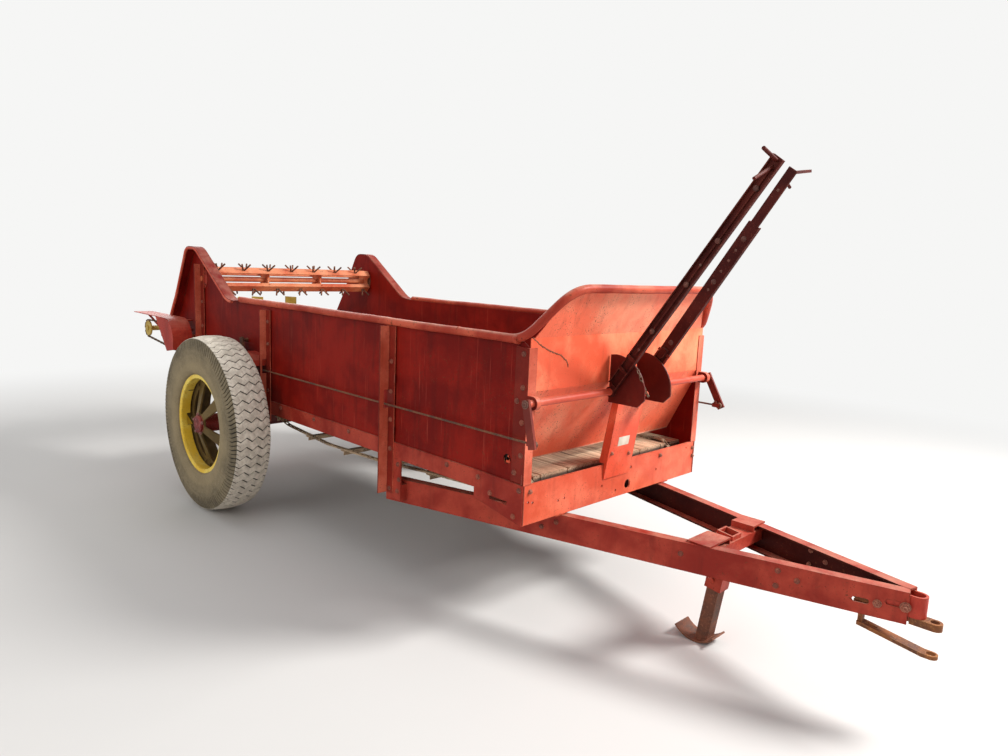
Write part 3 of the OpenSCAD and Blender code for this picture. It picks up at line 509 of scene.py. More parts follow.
def nodeMiddle(node):
    # middle of a node's box
    return fromSill(np.array(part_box(node)).mean(0))


def aroundAxis(node, middle):
    # distance from the node's own cross axis, and how far out from the node's middle plane
    centre = nodeMiddle(node)
    off = middle - centre
    return np.hypot(off[:, 0], off[:, 2]), off[:, 1] * np.sign(centre[1])


# where the finish changes on a carried-over solid, in millimetres
slotEdges = {"hub": 50, "disc": 236, "ringShadeOut": 28, "shaft": 17, "shaftFrom": 150, "fold": 1122, "strap": 366,
             "upperTeeth": 90, "mainTeeth": 140}


# the hub is red; the disc and the part of the ring less far out than ringShadeOut take the painted-shade tone
def wheelSlots(node, middle, normal):
    ring, out = aroundAxis(node, middle)
    inPaintedShade = (ring < slotEdges["disc"]) | (out < slotEdges["ringShadeOut"])
    return np.select([ring < slotEdges["hub"], inPaintedShade], [2, 1], 0)


def leverSlots(node, middle, normal):
    # the cross shaft is coral and the crank arm at its outer end red, the lever itself dark
    ring = np.hypot(middle[:, 0] - shaftAt[0], middle[:, 2] - shaftAt[1])
    side = np.abs(middle[:, 1])
    isShaft = (ring < slotEdges["shaft"]) & (side > slotEdges["shaftFrom"])
    return np.select([side > boxHalf + 10, isShaft], [2, 1], 0)


def boardSlots(node, middle, normal):
    # the flat below the bend faces down, the one between bend and fold stands upright; each gets a lighter
    # coral than the top flat as painted light, the downward flat the lightest
    return np.where(normal[:, 2] < -0.25, 2, np.where(middle[:, 2] < slotEdges["fold"], 1, 0))


# nodes, their further finishes, and the slot of each face by its middle and its direction
slotTable = [
    (("wheel_right", "wheel_left"), ["discPaint", "hubRedPaintedHighlight"], wheelSlots),
    (("lever_right", "lever_left"), ["shaftPaint", "crankPaint"], leverSlots),
    # post faces that look along Y take the darker painted-shade tone
    (("posts_right", "posts_left"), ["postSidePaintedShade"], lambda node, middle, normal: np.abs(normal[:, 1]) > 0.7),
    (("front_board",), ["frontMidPaintedLight", "frontLowPaintedLight"], boardSlots),
    # each rail's inside face takes the painted-shade tone
    (("drawbar_rail_left",), ["railInnerPaintedShade"], lambda node, middle, normal: normal[:, 1] < -0.6),
    (("drawbar_rail_right",), ["railInnerPaintedShade"], lambda node, middle, normal: normal[:, 1] > 0.6),
    (("hitch_jaws",), ["guardPaint"], lambda node, middle, normal: middle[:, 2] > slotEdges["strap"]),
    (("upper_beater",), ["rustIron"],
     lambda node, middle, normal: aroundAxis(node, middle)[0] > slotEdges["upperTeeth"]),
    (("main_beater",), ["rustIron"],
     lambda node, middle, normal: aroundAxis(node, middle)[0] > slotEdges["mainTeeth"]),
]


def reslot(node, finishes, choose):
    # adds the finishes to a carried-over solid and gives each face its slot
    mesh = nodes[node].data
    middle, normal = np.empty((2, len(mesh.polygons) * 3), np.float32)
    mesh.polygons.foreach_get("center", middle)
    mesh.polygons.foreach_get("normal", normal)
    for finish in finishes:
        mesh.materials.append(materials[finish])
    slots = choose(node, fromSill(middle.reshape(-1, 3)), normal.reshape(-1, 3))
    mesh.polygons.foreach_set("material_index", slots.astype(np.int32))


for members, finishes, choose in slotTable:
    for name in members:
        reslot(name, finishes, choose)
print("finishes done")


def inRow(points):
    # from millimetres at the front sill to metres in the row's frame
    return np.asarray(points, float) * 0.001 + np.array([sillFront, 0, 0])


def unit(v):
    v = np.asarray(v, float)
    return v / np.linalg.norm(v, axis=-1, keepdims=True)


def circle(count):
    return np.arange(count) * 2 * np.pi / count


def makePiece(name, points, faces, finish, body, sharp=35, extra=None):
    # points (n, 3) in millimetres at the sill, faces a list of (k, corners) index arrays
    verts = inRow(points)
    faces = [np.asarray(f, np.int32) for f in faces if len(f)]
    sizes = np.concatenate([np.full(len(f), f.shape[1], np.int32) for f in faces])
    mesh = bpy.data.meshes.new(name)
    mesh.vertices.add(len(verts))
    mesh.vertices.foreach_set("co", verts.astype(np.float32).ravel())
    mesh.loops.add(int(sizes.sum()))
    mesh.loops.foreach_set("vertex_index", np.concatenate([f.ravel() for f in faces]))
    mesh.polygons.add(len(sizes))
    mesh.polygons.foreach_set("loop_start", np.concatenate([[0], np.cumsum(sizes)[:-1]]).astype(np.int32))
    mesh.update(calc_edges=True)
    mesh.polygons.foreach_set("use_smooth", np.ones(len(sizes), bool))
    mesh.set_sharp_from_angle(angle=math.radians(sharp))
    for key, values in (extra or {}).items():
        layer = mesh.attributes.new(key, "FLOAT", "POINT")
        layer.data.foreach_set("value", np.asarray(values, np.float32))
    mesh.materials.append(materials[finish])
    obj = bpy.data.objects.new(name, mesh)
    bpy.context.scene.collection.objects.link(obj)
    if body:
        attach(obj, body)
    return obj


def gridFaces(rows, cols, rowsClosed=False, colsClosed=False):
    # quads of a grid whose point (i, j) has the number i * cols + j
    i, j = np.meshgrid(np.arange(rows if rowsClosed else rows - 1),
                       np.arange(cols if colsClosed else cols - 1), indexing="ij")
    ii, jj = (i + 1) % rows, (j + 1) % cols
    return np.stack([i * cols + j, ii * cols + j, ii * cols + jj, i * cols + jj], -1).reshape(-1, 4)


def endFaces(rings, sides):
    # the two flat ends of a grid of closed rings
    return [np.arange(sides)[None, ::-1], ((rings - 1) * sides + np.arange(sides))[None]]


def copied(faces, copies, count):
    # the faces of a shape of count points, once for each of its copies
    shift = np.arange(copies)[:, None, None] * count
    return [(np.asarray(f)[None] + shift).reshape(-1, np.shape(f)[-1]) for f in faces]


def turned(section, sides, corner=0, cap=True):
    # solid of revolution round z: section is (radius, height) from the foot to the top;
    # where corner is 6 the radius follows a hexagon on the rings marked by a third column
    section = np.asarray(section, float)
    angle = circle(sides)
    radius = np.repeat(section[:, :1], sides, 1)
    if corner:
        wave = np.cos(np.pi / corner) / np.cos((angle % (2 * np.pi / corner)) - np.pi / corner)
        radius = np.where(section[:, 2:3] > 0, radius * wave / np.cos(np.pi / corner), radius)
    points = np.stack([radius * np.cos(angle), radius * np.sin(angle),
                       np.repeat(section[:, 1:2], sides, 1)], -1).reshape(-1, 3)
    faces = [gridFaces(len(section), sides, colsClosed=True)[:, ::-1]]
    return points, faces + (endFaces(len(section), sides) if cap else [])


def stamped(shape, places, along, scale=1.0):
    # copies of one shape, its z axis turned to each direction in along
    points, faces = shape
    places, along = np.atleast_2d(places).astype(float), unit(np.atleast_2d(along))
    along = np.broadcast_to(along, places.shape)
    helper = np.where(np.abs(along[:, 2:3]) > 0.9, [[1.0, 0, 0]], [[0, 0, 1.0]])
    side = unit(np.cross(helper, along))
    other = np.cross(along, side)
    size = np.broadcast_to(np.asarray(scale, float), len(places))[:, None, None]
    moved = (points[None, :, :1] * side[:, None] + points[None, :, 1:2] * other[:, None]
             + points[None, :, 2:] * along[:, None]) * size + places[:, None]
    return moved.reshape(-1, 3), copied(faces, len(places), len(points))


def joined(*shapes):
    # several (points, faces) as one
    points, faces, start = [], [], 0
    for pts, fcs in shapes:
        points.append(pts)
        faces += [np.asarray(f) + start for f in fcs]
        start += len(pts)
    return np.concatenate(points), faces


def bothSides(shape):
    # a shape on the right with its mirror image on the left
    points, faces = shape
    return joined(shape, (points * [1, -1, 1], [np.asarray(f)[:, ::-1] for f in faces]))


def rounded(corners, cut, count):
    # a path whose inner corners become parabolas that start at the given cut before and after them
    corners = np.asarray(corners, float)
    cut = np.broadcast_to(np.asarray(cut, float), len(corners) - 2)
    t = np.linspace(0, 1, count)[:, None]
    parts = [corners[:1]]
    for a, p, b, c in zip(corners[:-2], corners[1:-1], corners[2:], cut):
        start, end = p + unit(a - p) * c, p + unit(b - p) * c
        parts.append(start * (1 - t) ** 2 + p * 2 * t * (1 - t) + end * t ** 2)
    return np.concatenate(parts + [corners[-1:]])


def ringSpots(centre, radius, angle):
    # places on a circle round the cross axis
    x, y, z = centre
    return np.column_stack([x + radius * np.cos(angle), np.full(len(angle), y), z + radius * np.sin(angle)])


def runLength(line):
    # how far along a line each of its points lies
    return np.concatenate([[0], np.cumsum(np.linalg.norm(np.diff(line, axis=0), axis=1))])


def evenly(line, count):
    # the same line with its points at even distances, and those distances
    where = runLength(line)
    even = np.linspace(0, where[-1], count)
    return np.column_stack([np.interp(even, where, axis) for axis in line.T]), even


def tube(path, radius, sides, up=(0, 0, 1)):
    # round bar along a path: ring = centre + radius (cos a * side + sin a * rise), with flat ends
    path = np.asarray(path, float)
    ahead = unit(np.gradient(path, axis=0))
    side = unit(np.cross(ahead, up))
    rise = np.cross(side, ahead)
    radius = np.broadcast_to(np.asarray(radius, float), len(path))[:, None, None]
    angle = circle(sides)[None, :, None]
    ring = np.cos(angle) * side[:, None] + np.sin(angle) * rise[:, None]
    points = (path[:, None] + radius * ring).reshape(-1, 3)
    return points, [gridFaces(len(path), sides, colsClosed=True)] + endFaces(len(path), sides)


def wireLoop(line, out, tall, wire, sides):
    # round wire along a closed line: ring = point + wire (cos b * out + sin b * tall)
    b = circle(sides)[None, :, None]
    points = line[:, None] + wire * (np.cos(b) * out[:, None] + np.sin(b) * tall)
    return points.reshape(-1, 3), [gridFaces(len(line), sides, rowsClosed=True, colsClosed=True)]


def plate(outline, thick, origin, ease=0.8, across=(1, 0, 0), rise=(0, 0, 1)):
    # flat plate with eased edges: outline (n, 2) runs counterclockwise in the plane (across, rise)
    outline = np.asarray(outline, float)
    ahead = unit(np.roll(outline, -1, 0) - outline)
    behind = unit(outline - np.roll(outline, 1, 0))
    inward = np.stack([-(ahead + behind)[:, 1], (ahead + behind)[:, 0]], -1)
    inward = inward / np.maximum((inward ** 2).sum(1, keepdims=True), 0.4) * 2
    across, rise = unit(across), unit(rise)
    normal = np.cross(across, rise)
    layers = []
    for shrink, lift in ((ease, 0), (0, ease), (0, thick - ease), (ease, thick)):
        flat = outline + inward * shrink
        layers.append(np.asarray(origin) + flat[:, :1] * across + flat[:, 1:] * rise + normal * lift)
    faces = [gridFaces(4, len(outline), colsClosed=True)[:, ::-1]] + endFaces(4, len(outline))
    return np.concatenate(layers), faces


def brick(low, high, ease=1.0):
    # block with eased edges along the frame's axes
    low, high = np.asarray(low, float), np.asarray(high, float)
    size = high - low
    outline = [[0, 0], [size[0], 0], [size[0], size[1]], [0, size[1]]]
    return plate(outline, size[2], low, min(ease, size.min() * 0.3), rise=(0, 1, 0))


def bead(start, end, radius, seed):
    # weld bead: a thin bar whose radius swells and shrinks by sines, with a ripple in about every 5 mm
    start, end = np.asarray(start, float), np.asarray(end, float)
    length = np.linalg.norm(end - start)
    count = max(int(length / 5.0) * 2, 4)
    k = np.arange(count)
    swell = radius * (0.85 + 0.2 * np.sin(k * np.pi + seed) + 0.08 * np.sin(k * 2.3 + seed))
    swell[[0, -1]] *= 0.4
    up = (0, 0, 1) if abs(unit(end - start)[2]) < 0.9 else (1, 0, 0)
    return tube(start + (end - start) * np.linspace(0, 1, count)[:, None], swell, 8, up)


# fasteners: a washer with a hexagon and the end of its thread, and round heads of three sizes
hexBolt = turned([[12, 0, 0], [12, 1.8, 0], [9.2, 1.8, 1], [9.2, 7.4, 1], [8.4, 8.6, 0], [5.2, 8.6, 0],
                  [5.2, 12, 0], [4.2, 13, 0]], 12, 6)
capBolt = turned([[10.5, 0], [10.2, 2.4], [8.6, 4.8], [5.4, 6.6], [1.6, 7.3]], 12)
rivet = turned([[6.4, 0], [6.2, 1.6], [4.8, 3.2], [1.4, 4.0]], 10)
nail = turned([[3.4, 0], [3.2, 0.9], [1.2, 1.3]], 8)
outward = {"right": -1, "left": 1}    # sign of Y on each side
print("shapes done")


# bolts along the box: out is how far the face they sit on stands off the side, places are (x, z)
postBolts = {-773: (947, 820, 700, 574, 399), -1846: (1020, 905, 660, 545), -2651: (1070, 927, 780)}
sideBolts = {
    "posts": {"out": 11, "shape": capBolt,
              "places": [(x, z) for x, heights in postBolts.items() for z in heights]},
    "hanger": {"out": 6, "shape": capBolt, "places": [(-722, 515), (-722, 398), (-713, 450)]},
    "foot": {"out": 6, "shape": capBolt,
             "places": [(x, 586) for x in (-407, -1093, -1396, -1720, -2180, -2480, -2800)]},
    "gusset": {"out": 6, "shape": capBolt, "places": [(-229, 579), (-162, 534), (-16, 579), (-40, 478)]},
    "corner": {"out": 6, "shape": capBolt,
               "places": [(-22, 1066), (-20, 948), (-46, 898), (-18, 825), (-16, 707), (-44, 640)]},
    "sheet": {"out": 0, "shape": rivet, "places": [(-2900, 700), (-2700, 690), (-2330, 640), (-2960, 820)]},
}
# bolts of the front sill: (y, z)
sillBolts = [(-536, 572), (292, 576), (556, 570), (560, 532)]


def makeSideBolts():
    # each head sinks 0.2 mm into its face
    parts = []
    for group in sideBolts.values():
        spots = [(x, -boxHalf - group["out"] + 0.2, z) for x, z in group["places"]]
        parts.append(bothSides(stamped(group["shape"], spots, (0, -1, 0))))
    makePiece("side_bolts", *joined(*parts), "boltSteel", "chassis")


def makeSillBolts():
    bolts = [(0, y, z) for y, z in sillBolts]
    makePiece("sill_bolts", *stamped(hexBolt, bolts, (1, 0, 0), 0.8), "boltSteel", "chassis")


# pipe round the top: straight along each side, up the flare and across the front, with drawn bends;
# collars are sleeves round its straight sides, by x, each a section of (radius, along)
railPipe = {"radius": 17.0, "wear": 1.2, "bendLow": 62.0, "bendHigh": 88.0, "flareX": -20, "frontY": 458,
            "collars": {-48: [[16.4, -9], [17.0, -8], [17.0, 8], [16.4, 9]],
                        -350: [[16.2, -1.2], [16.9, -0.6], [16.9, 0.6], [16.2, 1.2]]}}


def makeTopRail():
    # surface: rings of the worn radius swept along the rounded path, with slow sine waves in both
    s = railPipe
    low, high = fromSill(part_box("top_rail"))
    r = s["radius"]
    sideY, sideZ = boxHalf + r, low[2] + r
    half = [[low[0] + 1, -sideY, sideZ], [s["flareX"], -sideY, sideZ],
            [high[0] - r, -s["frontY"], high[2] - r]]
    corners = half + [[x, -y, z] for x, y, z in half[::-1]]
    bends = [s["bendLow"], s["bendHigh"], s["bendHigh"], s["bendLow"]]
    fine, even = evenly(rounded(corners, bends, 12), 420)
    # the old pipe is not quite straight: it bows by a few millimetres and its wall is knocked here and there
    bow = 1.6 * np.sin(even / 310.0) + 0.9 * np.sin(even / 97.0 + 1.0)
    fine[:, 2] += bow * np.clip(np.minimum(even, even[-1] - even) / 300, 0, 1) * 0.7 - s["wear"]
    radius = r - s["wear"] + 0.25 * np.sin(even / 23.0) + 0.2 * np.sin(even / 61.0)
    parts = [tube(fine, radius, 20)]
    for x, section in s["collars"].items():
        spots = [[x, -sideY, sideZ - 1], [x, sideY, sideZ - 1]]
        parts.append(stamped(turned(section, 24), spots, (1, 0, 0)))
    obj = makePiece("pipe_round_top", *joined(*parts), "railPaint", "chassis", sharp=50)
    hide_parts("top_rail")


# tyre: a closed section swept round the axle, with zigzag grooves both ways and cuts in the shoulders;
# wall is (width out of 100, depth below the tread), pale is (depth, how pale the wall's ring is there)
tyreSetup = {"periods": 62, "grooves": (-56, -28, 0, 28, 56), "grooveHalf": 1.7, "grooveDepth": 1.0,
             "lateralDepth": 6.5, "lateralWave": 10.5, "grooveWave": 5.0, "shoulderDepth": 8.5, "slant": 0.38,
             "shoulderFrom": 14, "shoulderTo": 60, "treadHalf": 86, "crown": 0.0016, "uneven": 0.7,
             "wall": [(88.5, 15.5), (90.2, 20), (93.5, 32), (96.3, 46), (97.4, 52), (98.2, 58), (99.4, 76),
                      (99.9, 92), (99.6, 97), (99.6, 103), (99.9, 110), (100, 128), (100, 146), (99.9, 162),
                      (99, 176), (96.6, 186), (92.5, 194), (87, 199.5), (79.5, 203.5), (77.8, 210.6)],
             "pale": [(50, 0.0), (75, 0.35), (92, 0.25), (104, 0.5), (122, 0.45), (150, 1.0), (185, 0.8)]}


def zigzag(t):
    # between -1 and 1 with a period of 1, rising through 0 at t = 0
    return 4 * np.abs((t + 0.75) % 1 - 0.5) - 1


def makeTyre(side):
    # surface: angle = arc length / outer radius with zigzags across the tread,
    # radius = section - grooves - shoulder cuts, width = section + zigzags along the tread
    s = tyreSetup
    half, outer = np.ptp(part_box("tyre_" + side), axis=0)[1:] * 500    # half its width and height, in mm
    # around: twelve lines in each period; a groove across on the second, shoulder cuts on it and the eighth
    pitch = 2 * np.pi * outer / s["periods"]
    stepsIn = np.array([-3.8, 0, 3.8, 7.6, pitch / 4, 16.5, pitch / 2 - 3.0, pitch / 2, pitch / 2 + 3.0, 30.5,
                        pitch * 3 / 4, 39.5])
    around = (np.arange(s["periods"])[:, None] * pitch + stepsIn[None]).ravel()
    isLateral = np.tile(np.arange(12) == 1, s["periods"])
    isCut = np.tile(np.isin(np.arange(12), [1, 7]), s["periods"])
    # across: tread lines, then each sidewall down to the bead and the seat between
    beside = (-s["grooveHalf"], 0, s["grooveHalf"])
    lines = sorted([g + d for g in s["grooves"] for d in beside] + [-70, -42, -14, 14, 42, 70])
    tread = np.array([-s["treadHalf"]] + lines + [s["treadHalf"]], float)
    crown = outer - s["crown"] * tread ** 2
    wall = np.array(s["wall"]) * [half / 100, -1] + [0, outer]
    section = np.concatenate([np.column_stack([tread, crown]), wall, (wall * [-1, 1])[::-1]])
    v, r = section[:, 0], section[:, 1]
    isTread = np.arange(len(section)) < len(tread)
    isGroove = np.isin(v, s["grooves"]) & isTread
    depthIn = np.where(isTread, 0, np.where(np.abs(v) > 88, outer - r, 99))
    inShoulder = (~isTread) & (depthIn > s["shoulderFrom"]) & (depthIn < s["shoulderTo"])
    edge = isTread & (np.abs(v) > 80)
    # each point: arc length u, width w, radius
    wave = np.where(isTread, np.clip((s["treadHalf"] - np.abs(v)) / 16, 0, 1), 0)
    u = around[:, None] + s["lateralWave"] * wave[None] * zigzag(v / 56.0)[None]
    slant = np.where(isTread, 0, np.clip(outer - r - 12, 0, 40)) * s["slant"] * np.sign(v)
    u = u + slant[None]
    w = v[None] + s["grooveWave"] * np.where(np.abs(v) < 66, wave, 0)[None] * zigzag(around / pitch)[:, None]
    cut = np.zeros((len(around), len(section)))
    cut[:, isGroove] = s["grooveDepth"]
    cut = np.maximum(cut, s["lateralDepth"] * isLateral[:, None] * isTread[None] * (np.abs(v) < 83)[None])
    shoulder = s["shoulderDepth"] * isCut[:, None] * (inShoulder | edge)[None]
    radius = r[None] - cut - shoulder * np.where(isTread, 1.0, 0.35)[None]
    w = w - np.sign(v)[None] * shoulder * np.where(isTread, 0.0, 0.9)[None]
    # an old tyre is a little uneven all round
    radius = radius - 0.8 + s["uneven"] * np.sin(3 * around / outer + 1)[:, None] * (r > outer - 60)[None]
    angle = u / outer
    points = np.stack([radius * np.cos(angle), w, radius * np.sin(angle)], -1).reshape(-1, 3)
    points += nodeMiddle("tyre_" + side)
    pale = np.interp(depthIn, *np.transpose(s["pale"])) * (~isTread)
    layers = {"groove": np.clip((cut + shoulder) / 6, 0, 1).ravel(),
              "tread": np.broadcast_to(np.where(isTread, 1.0, 0.0)[None], cut.shape).ravel(),
              "ring": np.broadcast_to(pale[None], cut.shape).ravel()}
    faces = gridFaces(len(around), len(section), rowsClosed=True, colsClosed=True)[:, ::-1]
    obj = makePiece("tread_tyre_" + side, points, [faces], "tyreRubber", "wheel_" + side, sharp=40,
                    extra=layers)
    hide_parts("tyre_" + side)


# what sits on the wheels: nuts and a cap on the hub, pairs of rivets round the disc, and the valve
wheelTrim = {"hubFace": 94.0, "nutRing": 53, "nutTurn": 0.3, "nutSize": 0.72, "rivetRing": 228,
             "rivetTurn": 46.5, "rivetApart": 0.24, "discFace": 21.8, "nutSunk": 12, "capSunk": 6,
             "valve": (-190, 20, 150), "valveReach": (0, 24, 34), "valveRadius": (4.5, 4.0, 3.2),
             "cap": [[31, -1], [31, 1], [28, 2.8], [20, 3.6], [7, 3.8], [6, 3.8], [6, 5.4], [3, 5.7]]}


def makeWheelTrim(side):
    s = wheelTrim
    x, y, z = nodeMiddle("wheel_" + side)
    out = outward[side]
    face = (abs(y) + s["hubFace"]) * out
    nutSpots = ringSpots((x, face - out * s["nutSunk"], z), s["nutRing"], circle(5) + s["nutTurn"])
    nuts = stamped(hexBolt, nutSpots, (0, out, 0), s["nutSize"])
    cap = stamped(turned(s["cap"], 24), [[x, face - out * s["capSunk"], z]], (0, out, 0))
    pair = circle(5) + math.radians(s["rivetTurn"])
    seat = np.concatenate([pair - s["rivetApart"] / 2, pair + s["rivetApart"] / 2])
    rivetSpots = ringSpots((x, y + out * s["discFace"], z), s["rivetRing"], seat)
    rivets = stamped(rivet, rivetSpots, (0, out, 0), 1.2)
    foot = np.array([x, y, z]) + np.array(s["valve"]) * [1, out, 1]
    stem = tube([foot + [0, out * reach, 0] for reach in s["valveReach"]], s["valveRadius"], 10)
    makePiece("hub_trim_" + side, *joined(nuts, cap), "hubPaint", "wheel_" + side)
    # the rivets and the valve take the disc's painted-shade tone
    makePiece("wheel_rivets_" + side, *joined(rivets, stem), "discPaint", "wheel_" + side)


# links of the roller chains and of the apron: set evenly along a closed line in the xz plane
def linkSeats(loop, count):
    # middle and heading of each link, and the length of one
    where = runLength(loop)
    step = where[-1] / count
    spots = np.linspace(0, where[-1], count, endpoint=False)
    start, end = (np.column_stack([np.interp(q % where[-1], where, axis) for axis in loop.T])
                  for q in (spots, spots + step))
    return (start + end) / 2, unit(end - start), step


def seated(shape, middle, heading, y):
    # copies of a link: point = middle + x * heading + z * the direction square to it, at one y
    points, faces = shape
    px, py, pz = points.T[:, None]
    moved = np.stack([middle[:, :1] + px * heading[:, :1] - pz * heading[:, 1:],
                      np.broadcast_to(y + py, (len(middle), len(points))),
                      middle[:, 1:] + px * heading[:, 1:] + pz * heading[:, :1]], -1)
    return moved.reshape(-1, 3), copied(faces, len(middle), len(points))


def chainLine(a, b, ra, rb):
    # closed belt round two wheels in the xz plane: an arc of each, joined by straight runs
    span = b - a
    heading = math.atan2(span[1], span[0])
    lean = math.acos((ra - rb) / np.hypot(*span))
    t = np.linspace(0, 1, 60)
    first = heading + lean + (2 * np.pi - 2 * lean) * t
    second = heading - lean + 2 * lean * t
    loop = np.concatenate([a + ra * np.column_stack([np.cos(first), np.sin(first)]),
                           b + rb * np.column_stack([np.cos(second), np.sin(second)])])
    return np.concatenate([loop, loop[:1]])


def linkShape(pitch, high, wide, thick):
    # two figure-of-eight plates and one roller of a chain link, lying along x with its pins along y
    t = np.arange(9) * np.pi / 8 - np.pi / 2
    r = high / 2
    end = np.column_stack([pitch / 2 + r * np.cos(t), r * np.sin(t)])
    outline = np.concatenate([end, [[0, r * 0.72]], -end, [[0, -r * 0.72]]])
    sides = [plate(outline, thick, (0, s * wide / 2 + thick / 2, 0), 0.3) for s in (-1, 1)]
    roller = tube([[-pitch / 2, -wide / 2, 0], [-pitch / 2, wide / 2, 0]], high * 0.36, 8)
    return joined(*sides, roller)


# each chain by its node: the two nodes that carry its wheels, and the radii of the wheels
chainSetup = {
    "drive_chain": {"on": ("main_beater", "distributor"), "radii": (80, 53)},
    "beater_chain": {"on": ("main_beater", "upper_beater"), "radii": (80, 65)},
    "axle_chain": {"on": ("tyre_right", "main_beater"), "radii": (100, 80)},
}
chainLink = {"pitch": 25.4, "high": 9.6, "wide": 11.0, "inner": 6.0, "thick": 2.0}


def makeChain(node):
    s = chainLink
    ends = (nodeMiddle(carrier)[[0, 2]] for carrier in chainSetup[node]["on"])
    loop = chainLine(*ends, *chainSetup[node]["radii"])
    middle, heading, step = linkSeats(loop, int(round(runLength(loop)[-1] / s["pitch"] / 2)) * 2)
    # wide and narrow links take turns
    parts = []
    for k, wide in enumerate((s["wide"], s["inner"])):
        link = linkShape(step, s["high"], wide, s["thick"])
        parts.append(seated(link, middle[k::2], heading[k::2], nodeMiddle(node)[1]))
    obj = makePiece(node + "_links", *joined(*parts), "chainSteel", "chassis")
    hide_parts(node)


makeSideBolts()
makeSillBolts()
makeTopRail()
for wheelSide in outward:
    makeTyre(wheelSide)
    makeWheelTrim(wheelSide)
print("bolts, pipe and wheels done")
for chain in chainSetup:
    makeChain(chain)
print("chains done")


# levers: bolts and rivets placed along each lever from its shaft, and the boss of its crank
leverSetup = {
    "right": {"lean": 35.4, "back": 8, "face": -130.5, "bolts": (300, 515, 700, 905), "rivets": (210, 600)},
    "left": {"lean": 33.5, "back": 5, "face": 74.0, "bolts": (229, 519, 707),
             "rivets": (484, 567, 614, 659, 905)},
}
leverBoss = {"out": 41, "section": [[19, 0], [19, 1], [17, 3], [9, 3.5], [8, 6], [3, 7]]}


def leverSpot(side, along, forward=0.0):
    # a place on the lever's face: along it from the shaft, and forward of its middle line
    s = leverSetup[side]
    a = math.radians(s["lean"])
    f = forward - s["back"]
    return [shaftAt[0] + along * math.sin(a) + f * math.cos(a), s["face"],
            shaftAt[1] + along * math.cos(a) - f * math.sin(a)]


def makeLeverTrim():
    for side, s in leverSetup.items():
        heads = stamped(capBolt, [leverSpot(side, z) for z in s["bolts"]], (0, -1, 0), 1.05)
        small = stamped(rivet, [leverSpot(side, z) for z in s["rivets"]], (0, -1, 0), 0.9)
        out = outward[side]
        endAt = [[shaftAt[0], out * (boxHalf + leverBoss["out"]), shaftAt[1]]]
        boss = stamped(turned(leverBoss["section"], 20), endAt, (0, out, 0), 0.8)
        makePiece("lever_bolts_" + side, *joined(heads, small, boss), "leverBolt", "lever_" + side)


# short hanging chain of oval links between the right quadrant's rim and the tab on the post
shortChain = {"tabAt": (116.0, -14, 893), "bend": (160.0, -60, 876), "low": (172.0, -126, 935),
              "leverAt": (138.0, -124, 1000), "links": 13, "wide": 4.6, "wire": 1.8}


def makeShortChain():
    # line: a cubic curve from the tab to the lever with two pull points; each link is a long oval on it
    s = shortChain
    tabAt, bend, low, leverAt = (np.array(s[key]) for key in ("tabAt", "bend", "low", "leverAt"))
    t = np.linspace(0, 1, 80)[:, None]
    curve = tabAt * (1 - t) ** 3 + bend * 3 * t * (1 - t) ** 2 + low * 3 * t ** 2 * (1 - t) + leverAt * t ** 3
    line, even = evenly(curve, s["links"] + 1)
    a = circle(16)
    half = even[-1] / s["links"] / 2
    oval = np.column_stack([np.cos(a) * s["wide"] + np.sign(np.cos(a)) * (half - 3.2), np.sin(a) * s["wide"]])
    parts = []
    for i, (middle, ahead) in enumerate(zip((line[1:] + line[:-1]) / 2, unit(np.diff(line, axis=0)))):
        side = unit(np.cross(ahead, (0, 0, 1.0)))
        rise = np.cross(side, ahead)
        flat, tall = (side, rise) if i % 2 else (rise, side)
        ring = middle + oval[:, :1] * ahead + oval[:, 1:] * flat
        parts.append(wireLoop(ring, unit(ring - middle), tall, s["wire"], 6))
    obj = makePiece("short_chain", *joined(*parts), "chainSteel", None)
    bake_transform(obj)


# the tab that holds the short chain, and its foot on the lever post
tabShape = {"outline": [[0, -9], [44, -9], [52, -3], [52, 5], [44, 11], [0, 11]], "thick": 7,
            "at": (66, -8, 893), "footLow": (56, -24, 884), "footHigh": (68, 4, 902)}


def makeChainTab():
    s = tabShape
    tab = plate(s["outline"], s["thick"], s["at"], 1.0)
    makePiece("chain_tab", *joined(tab, brick(s["footLow"], s["footHigh"])), "frontPaint", "chassis")


# the leaning face of the lever post: its foot, its slope, the blank sticker and two bolts as (y, up the face)
postFace = {"x": 4.0, "z": 540, "slope": (50, 0, 332), "stickerY": -60, "stickerUp": 134, "stickerWide": 72,
            "stickerHigh": 38, "stickerThick": 0.7, "bolts": ((-90, 108), (28, 92))}


def makePostTrim():
    s = postFace
    up = unit(s["slope"])
    out = np.array([up[2], 0, -up[0]])
    at = np.array([s["x"], s["stickerY"], s["z"]]) + up * s["stickerUp"] + out * 0.15
    w, h = s["stickerWide"], s["stickerHigh"]
    sheet = plate([[0, 0], [w, 0], [w, h], [0, h]], s["stickerThick"], at, 0.3, (0, 1, 0), up)
    makePiece("blank_sticker", *sheet, "blankLabel", "chassis")
    spots = [[s["x"], y, s["z"]] + up * along for y, along in s["bolts"]]
    makePiece("post_bolts", *stamped(hexBolt, spots, out, 0.7), "boltSteel", "chassis")


# crack in the front sheet, as (y, z), with short lumps of weld along it
crackLine = [(-556, 1122), (-520, 1098), (-470, 1074), (-440, 1064), (-410, 1056), (-385, 1040), (-372, 1030),
             (-364, 1008)]


